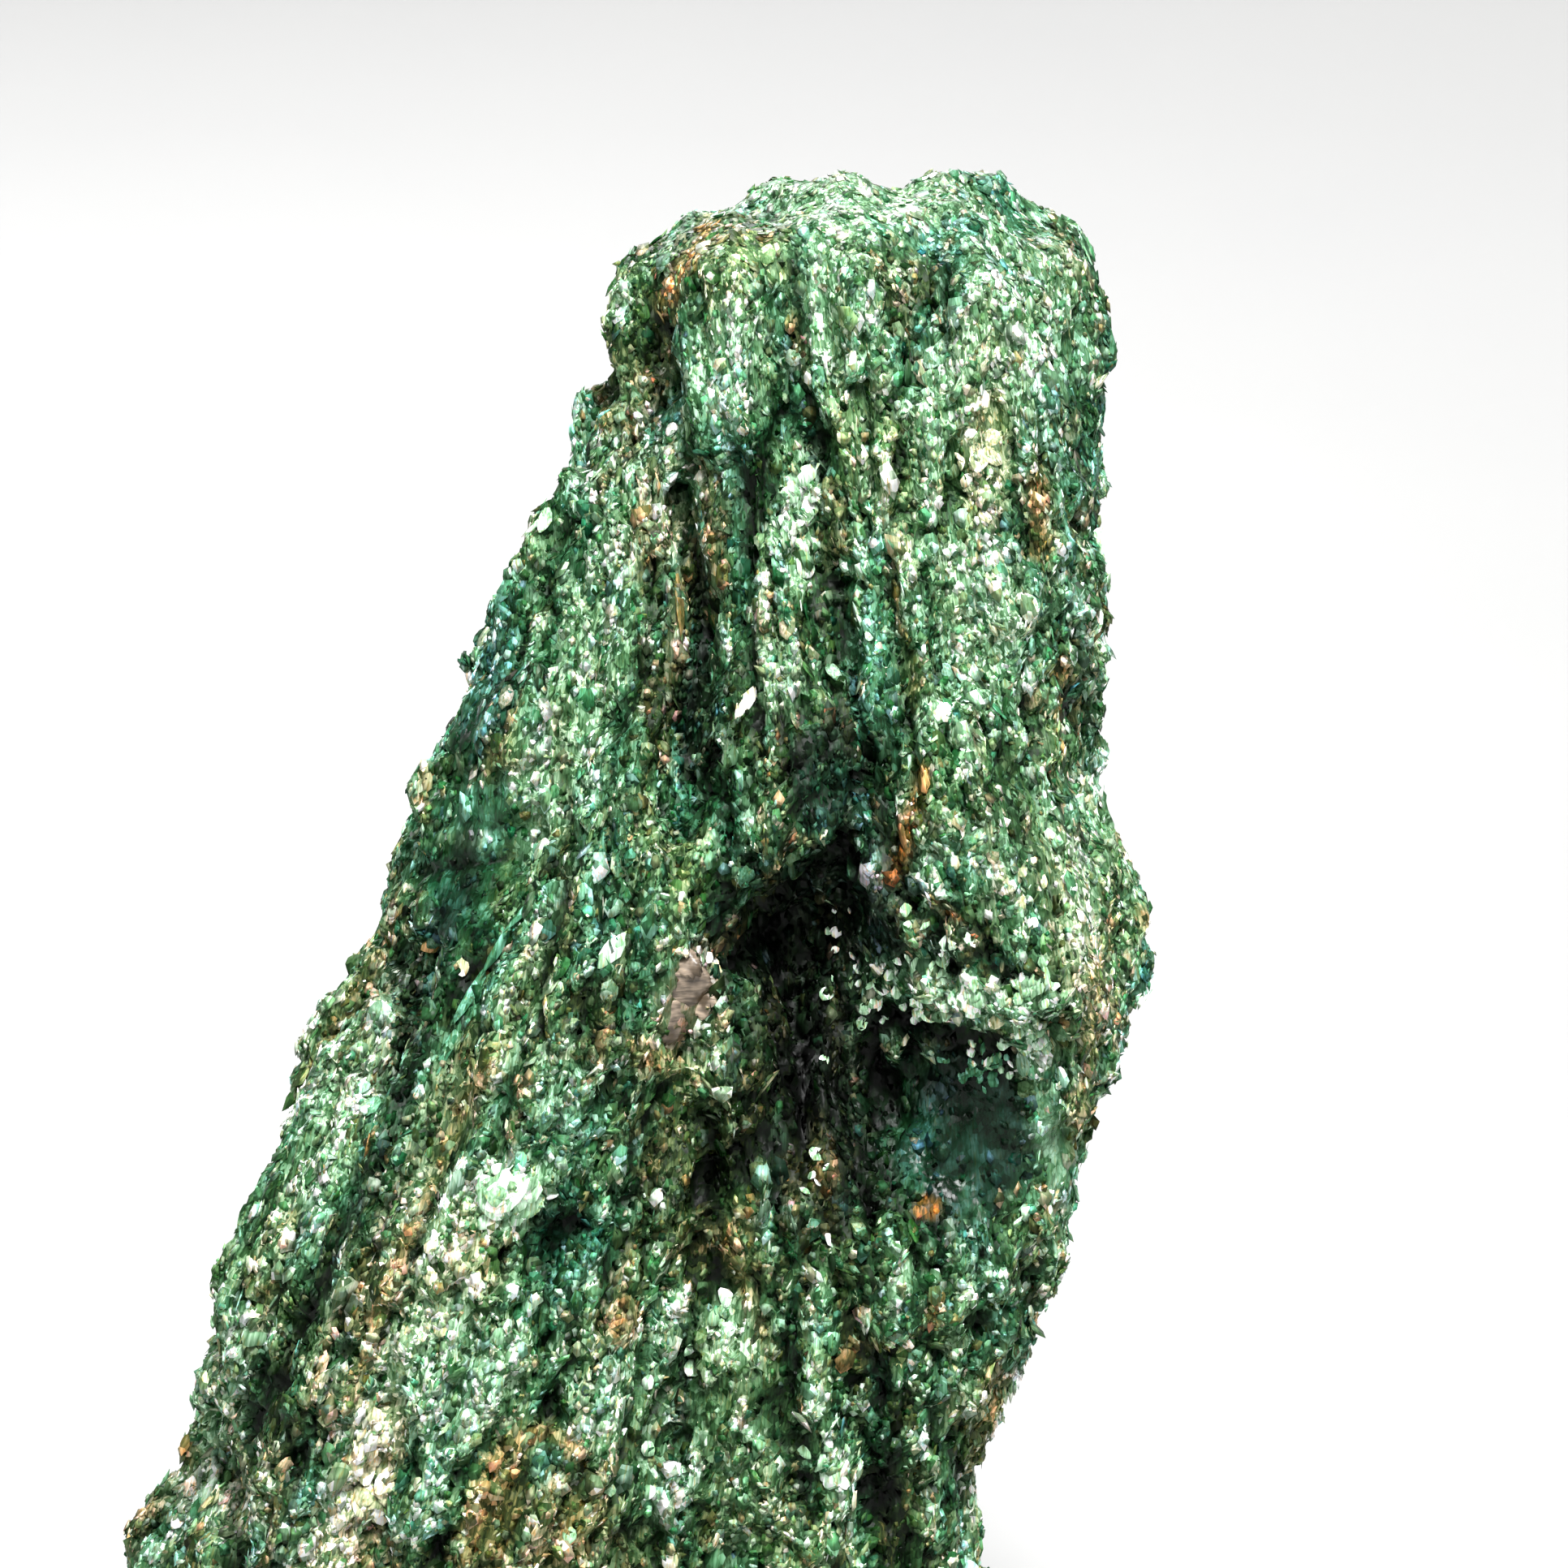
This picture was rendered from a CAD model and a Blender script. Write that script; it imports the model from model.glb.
"""Looks of a raw fuchsite specimen: green mica schist under a coat of loose flakes, in a pale studio.

Places on the front are written in millimetres as the camera sees them: across, and up. The stone
and its flakes are in millimetres too, and turn into metres where a mesh is made. The studio's floor
and lights are in metres.
"""

import itertools
import logging
import math
from collections.abc import Sequence
from dataclasses import dataclass, field
from enum import Enum
from typing import Any

import bmesh
import bpy
import numpy as np
from mathutils import Matrix, Vector, noise


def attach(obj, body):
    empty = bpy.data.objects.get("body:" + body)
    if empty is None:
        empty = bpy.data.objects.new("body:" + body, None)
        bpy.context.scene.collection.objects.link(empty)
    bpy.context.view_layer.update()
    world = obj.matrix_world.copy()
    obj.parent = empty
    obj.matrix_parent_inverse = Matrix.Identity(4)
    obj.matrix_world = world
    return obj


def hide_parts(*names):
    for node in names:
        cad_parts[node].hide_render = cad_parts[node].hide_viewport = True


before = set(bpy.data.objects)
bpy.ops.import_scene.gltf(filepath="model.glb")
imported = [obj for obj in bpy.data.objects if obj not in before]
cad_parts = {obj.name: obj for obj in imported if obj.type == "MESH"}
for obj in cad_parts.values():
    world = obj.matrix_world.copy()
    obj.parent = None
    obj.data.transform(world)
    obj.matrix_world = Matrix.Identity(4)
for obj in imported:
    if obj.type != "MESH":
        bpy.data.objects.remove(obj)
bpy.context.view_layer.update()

STONE = "fuchsite_stone"
MM = 0.001

Place = tuple[float, float]
Route = tuple[Place, ...]
Limits = tuple[float, float]
Triple = tuple[float, float, float]
Colour = tuple[float, float, float, float]
Shape = tuple[np.ndarray, list[list[int]], np.ndarray]

log = logging.getLogger("fuchsite")


class Tone(Enum):
    """The colours of the schist and its flakes, as linear red, green and blue."""

    MINT = (0.540, 0.770, 0.560)
    GREEN = (0.138, 0.290, 0.145)
    JADE = (0.090, 0.270, 0.165)
    DEEP = (0.012, 0.080, 0.038)
    TEAL = (0.034, 0.124, 0.095)
    SLATE = (0.012, 0.034, 0.026)
    OLIVE = (0.125, 0.110, 0.036)
    OCHRE = (0.360, 0.250, 0.090)
    RUST = (0.380, 0.130, 0.022)
    CREAM = (0.760, 0.680, 0.480)
    PINK = (0.270, 0.210, 0.155)
    SHADE = (0.003, 0.008, 0.003)


class LeafKind(Enum):
    """Outlines of the single large flakes: how wide they are for their length."""

    ROUND = 0.8
    LEAF = 0.45
    BLADE = 0.14


# The tones that hold back the streaks and bundles where they lie
CALM_TONES = (Tone.MINT, Tone.JADE, Tone.OCHRE, Tone.RUST, Tone.CREAM, Tone.PINK)
# How fast red, green and blue fall as mica gets darker: what is dark is also greener
DARKENING = np.array((1.28, 0.93, 1.27))
# How a shift of hue moves red, green and blue
HUE_TURN = np.array((1.0, 0.0, -0.75))
# How the start of a noise moves it along each axis, and how its octaves follow one another
NOISE_AXES = np.array((1.0, 0.37, 0.71))
OCTAVE_FALL = 1.0
OCTAVE_STEP = 2.0
# How far a ragged edge moves in and out, and where the edge of a patch begins and ends
PATCH_RAGGED = 0.45
PATCH_EDGE = (0.65, 1.3)
SEAM_RAGGED = 0.5
# The usual factors of random numbers drawn from a sine: the start and step for each axis, then the scale
LOT_STARTS = np.array((0.0, 78.233, 37.719))
LOT_STEPS = np.array((12.9898, 3.1, 7.7))
LOT_SCALE = 43758.5453
# How many random numbers each bundle of mica has: three for its turn, then one each for level and tone
BUNDLE_LOTS = 5
LEVEL_LOT = 3
TONE_LOT = 4
# Where a flake's upper side and the rest of it lie in its square of the colour map: size, then middle
UPPER_BLOCK = ((0.58, 0.92), (0.32, 0.50))
UNDER_BLOCK = ((0.31, 0.92), (0.805, 0.50))
UNDER_SHRINK = 0.75
# How far up a face has to point to belong to the upper side
UPPER_FROM = 0.3
MAP_NAME = "OFBake"


def soft_step(values: np.ndarray, low: float, high: float) -> np.ndarray:
    """Runs smoothly from 0 at the low value to 1 at the high one."""
    share = np.clip((values - low) / (high - low), 0.0, 1.0)
    return share * share * (3.0 - 2.0 * share)


def unit_rows(rows: np.ndarray) -> np.ndarray:
    """Vectors, one row each, brought to a length of one."""
    return rows / np.linalg.norm(rows, axis=1)[:, None]


@dataclass(frozen=True)
class Grain:
    """Soft noise of one size.

    A lump or streak of it has its width across the layers and its length along them. Octaves say
    how much finer noise is added, and the start moves it, so that each use has lumps of its own.
    """

    width: float
    length: float
    octaves: int
    start: float


def lumps(points: np.ndarray, grain: Grain) -> np.ndarray:
    """Soft noise, from about -1 to 1, at many points.

    Args:
        points: Places in millimetres, one row each.
        grain: Size of the lumps.

    Returns:
        One value for each point.
    """
    scaled = points / np.array((grain.width, grain.width, grain.length)) + grain.start * NOISE_AXES
    return np.array([noise.fractal(row, OCTAVE_FALL, OCTAVE_STEP, grain.octaves) for row in scaled.tolist()])


def route_distance(places: np.ndarray, route: Route) -> np.ndarray:
    """How far places in the front view are from a route of straight stretches."""
    nearest = np.full(len(places), np.inf)
    for start, end in zip(route, route[1:]):
        origin, along = np.array(start), np.subtract(end, start)
        share = np.clip((places - origin) @ along / (along @ along), 0.0, 1.0)
        away = places - (origin + share[:, None] * along)
        nearest = np.minimum(nearest, np.hypot(away[:, 0], away[:, 1]))
    return nearest


def turned(places: np.ndarray, centre: Place, lean: float) -> np.ndarray:
    """Places counted from a centre and turned back by a lean in degrees."""
    angle = math.radians(lean)
    away = places - np.array(centre)
    across = away[:, 0] * math.cos(angle) - away[:, 1] * math.sin(angle)
    up = away[:, 0] * math.sin(angle) + away[:, 1] * math.cos(angle)
    return np.column_stack((across, up))


@dataclass(frozen=True)
class FrontView:
    """Where the stone is looked at from, and how its front appears from there.

    The view is as wide as it is tall. It looks down a little at a point of the middle plane.
    """

    distance: float = 340.0
    down: float = math.radians(6.0)
    across: float = 9.0
    up: float = 55.9
    width: float = 87.8

    def seen(self, points: np.ndarray) -> np.ndarray:
        """Where points of the stone lie in the view: across and up, in millimetres."""
        aside, above = points[:, 0] - self.across, points[:, 2] - self.up
        ahead = self.distance + points[:, 1] * math.cos(self.down) - above * math.sin(self.down)
        rise = above * math.cos(self.down) + points[:, 1] * math.sin(self.down)
        nearer = self.distance / ahead
        return np.column_stack((self.across + aside * nearer, self.up + rise * nearer))

    def camera_place(self) -> Vector:
        """The camera's place in metres."""
        back = Vector((0.0, -math.cos(self.down), math.sin(self.down)))
        return (Vector((self.across, 0.0, self.up)) + back * self.distance) * MM


@dataclass(frozen=True)
class Foliation:
    """The layers of mica, which run down the stone, bend to the left and spread like a fan."""

    top: float = 80.0
    middle_at_top: float = 7.0
    lean: float = -0.12
    bend: float = 0.0034
    spread: float = 0.04

    def widening(self, points: np.ndarray) -> np.ndarray:
        """How much wider the fan is at each point than at its top."""
        return np.hypot(1.0, self.spread * np.maximum(self.top - points[:, 2], 0.0))

    def places(self, points: np.ndarray, follow: float = 1.0) -> np.ndarray:
        """Points as counted along the layers: across them twice, then up.

        Args:
            points: Places in millimetres, one row each.
            follow: 1 keeps to the fan. Less keeps widths more alike from top to bottom.

        Returns:
            One row for each point.
        """
        fall = self.top - points[:, 2]
        middle = self.middle_at_top - self.lean * fall - 0.5 * self.bend * fall ** 2
        wider = self.widening(points) ** follow
        return np.column_stack(((points[:, 0] - middle) / wider, points[:, 1] / wider, points[:, 2]))

    def directions(self, points: np.ndarray) -> np.ndarray:
        """The way that the layers run at each point, as unit vectors."""
        fall = self.top - points[:, 2]
        place = self.places(points)
        growth = self.spread ** 2 * np.maximum(fall, 0.0) / self.widening(points)
        across = self.lean + self.bend * fall - place[:, 0] * growth
        return unit_rows(np.column_stack((across, -place[:, 1] * growth, np.ones(len(points)))))

    def streaks(self, points: np.ndarray, grain: Grain) -> np.ndarray:
        """Soft noise in streaks along the layers, which fork as the fan widens and so stay slim.

        Args:
            points: Places in millimetres, one row each.
            grain: Size of the streaks.

        Returns:
            One value from about -1 to 1 for each point.
        """
        forks = np.log2(self.widening(points))
        step = np.floor(forks)
        share = forks - step
        layers = self.places(points)
        both = []
        for finer in (step, step + 1.0):
            forked = layers * np.column_stack((2.0 ** finer, 2.0 ** finer, np.ones(len(points))))
            both.append(lumps(forked, grain))
        mean = both[0] * (1.0 - share) + both[1] * share
        return mean / np.hypot(1.0 - share, share)


@dataclass(frozen=True)
class Patch:
    """A stretch of the front in one tone, roughly an ellipse with a ragged edge."""

    tone: Tone
    centre: Place
    reach: Place
    strength: float
    lean: float = 0.0

    def weight(self, places: np.ndarray, ragged: np.ndarray) -> np.ndarray:
        """How much of the tone each place takes."""
        away = turned(places, self.centre, self.lean) / np.array(self.reach)
        distance = np.hypot(away[:, 0], away[:, 1]) + PATCH_RAGGED * ragged
        return self.strength * (1.0 - soft_step(distance, *PATCH_EDGE))


@dataclass(frozen=True)
class Seam:
    """A seam, vein or crack along a route on the front, which may also be cut in."""

    tone: Tone
    route: Route
    half_width: float
    strength: float
    depth: float = 0.0

    def weight(self, places: np.ndarray, ragged: np.ndarray) -> np.ndarray:
        """How much of the tone each place takes."""
        distance = route_distance(places, self.route) / self.half_width
        return self.strength * np.exp(-((distance + SEAM_RAGGED * ragged) ** 2))

    def cut(self, places: np.ndarray) -> np.ndarray:
        """How deep each place lies under the surface because of this seam."""
        distance = route_distance(places, self.route) / self.half_width
        return self.depth * np.exp(-(distance ** 2))


PATCHES: tuple[Patch, ...] = (
    # Top and upper half
    Patch(Tone.JADE, (17.1, 88.1), (9.6, 2.0), 0.25),
    Patch(Tone.MINT, (13.6, 88.6), (6.4, 1.8), 0.42),
    Patch(Tone.MINT, (11.3, 83.4), (1.2, 4.2), 0.62, 8.0),
    Patch(Tone.GREEN, (14.8, 84.6), (1.5, 1.6), 0.50),
    Patch(Tone.MINT, (18.0, 77.6), (1.5, 4.2), 0.60),
    Patch(Tone.MINT, (20.4, 64.4), (2.8, 4.6), 0.58),
    Patch(Tone.MINT, (-2.3, 61.8), (1.9, 6.6), 0.66, 8.0),
    Patch(Tone.MINT, (22.4, 84.4), (3.6, 2.8), 0.30),
    Patch(Tone.OLIVE, (3.8, 87.2), (2.2, 0.9), 0.40, -70.0),
    Patch(Tone.MINT, (-0.6, 83.0), (1.2, 1.2), 0.50),
    Patch(Tone.OLIVE, (0.0, 78.0), (1.6, 3.4), 0.60),
    Patch(Tone.SHADE, (2.0, 79.8), (0.9, 3.0), 0.60),
    Patch(Tone.MINT, (6.0, 79.4), (2.7, 3.2), 0.55),
    Patch(Tone.MINT, (12.8, 80.4), (1.8, 3.2), 0.40),
    Patch(Tone.MINT, (22.4, 79.6), (3.6, 3.4), 0.40),
    Patch(Tone.MINT, (9.9, 70.3), (1.1, 3.6), 0.65),
    Patch(Tone.CREAM, (20.3, 74.4), (1.3, 3.8), 0.68),
    Patch(Tone.OLIVE, (23.3, 71.6), (1.1, 3.2), 0.55),
    Patch(Tone.RUST, (23.5, 71.2), (0.6, 2.6), 0.35),
    Patch(Tone.CREAM, (2.3, 70.5), (1.3, 1.7), 0.60),
    Patch(Tone.OLIVE, (4.9, 68.0), (1.2, 3.6), 0.60),
    Patch(Tone.JADE, (14.2, 63.2), (1.7, 3.8), 0.75),
    Patch(Tone.TEAL, (-7.9, 61.0), (1.6, 3.6), 0.90, 14.0),
    Patch(Tone.SHADE, (4.2, 60.7), (1.7, 4.5), 0.66),
    Patch(Tone.JADE, (0.2, 50.4), (2.8, 6.4), 0.40),
    Patch(Tone.MINT, (8.7, 61.9), (1.4, 2.0), 0.60),
    Patch(Tone.MINT, (17.4, 59.8), (1.0, 0.9), 0.85),
    # Middle: glassy patch, hollow, bulge and facet
    Patch(Tone.MINT, (-4.4, 55.4), (2.0, 3.4), 0.66, 10.0),
    Patch(Tone.DEEP, (-8.7, 50.8), (2.7, 4.8), 0.95, 12.0),
    Patch(Tone.TEAL, (-8.4, 54.2), (1.9, 2.2), 0.80),
    Patch(Tone.JADE, (-8.2, 54.0), (2.5, 1.9), 0.85, 12.0),
    Patch(Tone.MINT, (-9.2, 52.9), (1.6, 0.5), 0.40, 10.0),
    Patch(Tone.TEAL, (-9.8, 48.6), (1.2, 2.0), 0.75, 20.0),
    Patch(Tone.JADE, (-8.0, 49.4), (0.8, 1.2), 0.50, 20.0),
    Patch(Tone.SLATE, (-10.2, 47.4), (0.9, 2.0), 0.70, 14.0),
    Patch(Tone.SHADE, (-8.8, 51.5), (2.6, 0.8), 0.80, 84.0),
    Patch(Tone.SHADE, (11.8, 56.2), (3.0, 3.6), 0.78),
    Patch(Tone.SHADE, (14.9, 51.8), (1.3, 2.6), 0.62),
    Patch(Tone.JADE, (17.3, 51.0), (1.2, 2.0), 0.60),
    Patch(Tone.MINT, (17.4, 50.8), (0.9, 1.7), 0.60),
    Patch(Tone.MINT, (22.6, 51.5), (4.2, 5.2), 0.22),
    Patch(Tone.CREAM, (25.4, 47.0), (1.3, 5.4), 0.50, -6.0),
    Patch(Tone.MINT, (26.3, 52.4), (1.1, 4.6), 0.48, 4.0),
    Patch(Tone.SHADE, (11.0, 47.6), (5.2, 5.6), 0.92),
    Patch(Tone.SHADE, (11.9, 37.4), (3.4, 7.0), 0.90),
    Patch(Tone.SHADE, (8.6, 38.6), (3.0, 6.4), 0.78),
    Patch(Tone.SHADE, (6.6, 45.2), (1.4, 2.6), 0.62),
    Patch(Tone.OLIVE, (10.6, 33.2), (1.3, 3.6), 0.45),
    Patch(Tone.GREEN, (14.2, 44.6), (1.4, 1.6), 0.55),
    Patch(Tone.MINT, (20.2, 43.5), (3.4, 1.3), 0.62, 16.0),
    Patch(Tone.PINK, (3.4, 43.9), (1.3, 2.7), 0.95, 14.0),
    Patch(Tone.OCHRE, (2.4, 40.3), (2.2, 0.8), 0.55, 30.0),
    Patch(Tone.DEEP, (18.8, 36.4), (4.4, 5.2), 0.92, -12.0),
    Patch(Tone.SLATE, (19.4, 36.8), (3.8, 4.8), 0.88, -12.0),
    Patch(Tone.SHADE, (18.0, 39.6), (3.4, 1.6), 0.60, -70.0),
    Patch(Tone.TEAL, (16.8, 36.0), (0.8, 2.2), 0.60, 10.0),
    Patch(Tone.JADE, (24.2, 35.4), (1.0, 3.8), 0.95, -10.0),
    Patch(Tone.MINT, (24.1, 35.2), (0.8, 3.4), 0.42, -10.0),
    Patch(Tone.MINT, (22.9, 41.0), (1.2, 1.8), 0.70),
    Patch(Tone.RUST, (16.9, 32.2), (0.8, 0.6), 0.75),
    # Left flank and the lower half
    Patch(Tone.SHADE, (-12.2, 43.5), (1.6, 2.8), 0.70),
    Patch(Tone.MINT, (-16.4, 36.4), (1.6, 7.8), 0.55, 22.0),
    Patch(Tone.OCHRE, (-9.5, 38.0), (1.9, 1.8), 0.50),
    Patch(Tone.MINT, (-9.5, 38.0), (2.0, 1.9), 0.42),
    Patch(Tone.MINT, (-3.5, 38.7), (1.8, 2.6), 0.45),
    Patch(Tone.JADE, (-3.6, 37.2), (2.2, 3.6), 0.60),
    Patch(Tone.MINT, (-6.5, 32.8), (2.6, 2.2), 1.00),
    Patch(Tone.CREAM, (-9.4, 29.4), (1.6, 3.0), 0.60, 24.0),
    Patch(Tone.DEEP, (-3.1, 30.6), (2.6, 2.7), 1.00),
    Patch(Tone.SHADE, (-3.3, 31.5), (1.5, 0.9), 0.60),
    Patch(Tone.JADE, (-3.2, 29.2), (1.6, 1.0), 0.35),
    Patch(Tone.OLIVE, (3.5, 33.7), (3.2, 4.8), 0.60),
    Patch(Tone.OLIVE, (-1.8, 25.0), (2.8, 1.4), 0.55, -20.0),
    Patch(Tone.RUST, (0.2, 25.6), (1.0, 1.5), 0.40),
    Patch(Tone.OCHRE, (20.6, 20.0), (1.2, 3.8), 0.55, 10.0),
    Patch(Tone.MINT, (6.2, 25.2), (1.9, 2.4), 0.80),
    Patch(Tone.MINT, (-20.7, 25.3), (1.2, 1.0), 0.85),
    Patch(Tone.MINT, (-22.6, 16.0), (0.8, 1.6), 0.75, 20.0),
    Patch(Tone.OCHRE, (-12.6, 25.2), (1.1, 3.2), 0.50, 20.0),
    Patch(Tone.MINT, (-11.4, 31.4), (1.9, 4.6), 0.55, 18.0),
    Patch(Tone.OCHRE, (-7.0, 16.6), (1.0, 3.4), 0.60, 10.0),
    Patch(Tone.OCHRE, (-5.0, 14.6), (3.6, 2.8), 0.35),
    Patch(Tone.MINT, (-9.8, 23.8), (4.2, 4.4), 0.60),
    Patch(Tone.GREEN, (-2.8, 22.4), (2.8, 3.2), 0.45),
    Patch(Tone.CREAM, (-2.2, 10.6), (4.6, 3.6), 0.40),
    Patch(Tone.OCHRE, (-3.0, 13.6), (4.2, 1.3), 0.40, -60.0),
    Patch(Tone.OLIVE, (-16.6, 27.6), (1.2, 6.0), 0.45, 20.0),
    Patch(Tone.CREAM, (-13.8, 18.6), (1.4, 3.4), 0.80, 12.0),
    Patch(Tone.CREAM, (-20.4, 16.4), (1.8, 3.0), 0.35, 20.0),
    Patch(Tone.MINT, (-23.0, 21.0), (1.5, 5.5), 0.60, 20.0),
    Patch(Tone.DEEP, (16.2, 20.5), (5.4, 7.0), 0.30),
    Patch(Tone.OCHRE, (4.4, 18.4), (5.6, 6.4), 0.18),
    Patch(Tone.MINT, (3.4, 20.4), (5.0, 5.0), 0.22),
    Patch(Tone.MINT, (11.9, 17.5), (1.1, 1.0), 0.90),
    Patch(Tone.MINT, (15.5, 28.0), (0.6, 1.5), 0.85, 10.0),
    Patch(Tone.TEAL, (14.4, 22.3), (0.8, 1.9), 0.70),
    Patch(Tone.RUST, (-24.9, 18.8), (0.8, 1.3), 0.60),
)

# Where the mica is glassy and the quartz is bare: hardly a flake lies there
SMOOTH_SPOTS: tuple[Patch, ...] = (
    Patch(Tone.TEAL, (-8.5, 51.6), (2.8, 5.0), 0.86, 12.0),
    Patch(Tone.TEAL, (-8.7, 58.8), (0.8, 2.2), 0.90, 14.0),
    Patch(Tone.SLATE, (19.4, 36.0), (4.2, 4.6), 0.90, -12.0),
    Patch(Tone.JADE, (24.1, 35.4), (1.1, 3.8), 0.90, -10.0),
    Patch(Tone.PINK, (3.5, 43.8), (1.3, 2.4), 1.00, 14.0),
)


@dataclass(frozen=True)
class Facet:
    """A smooth broken face: its place in the front view, width, length, lean, tone and how light it is."""

    place: Place
    width: float
    length: float
    lean: float
    tone: Tone
    level: float


QUARTZ_FACETS: tuple[Facet, ...] = (
    Facet((2.9, 42.7), 1.4, 2.8, 12.0, Tone.PINK, 0.44),
    Facet((3.6, 44.4), 2.5, 2.4, 24.0, Tone.PINK, 0.52),
    Facet((3.4, 46.0), 1.8, 1.4, 50.0, Tone.PINK, 0.70),
    Facet((4.6, 43.4), 1.0, 1.5, 34.0, Tone.PINK, 0.90),
    Facet((4.9, 44.8), 1.3, 1.0, 60.0, Tone.CREAM, 0.95),
    Facet((5.0, 45.8), 0.9, 0.7, 80.0, Tone.OCHRE, 1.00),
    Facet((3.3, 46.8), 1.0, 0.5, 70.0, Tone.CREAM, 1.10),
    Facet((2.6, 41.4), 0.9, 0.9, 20.0, Tone.CREAM, 0.60),
)

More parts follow.
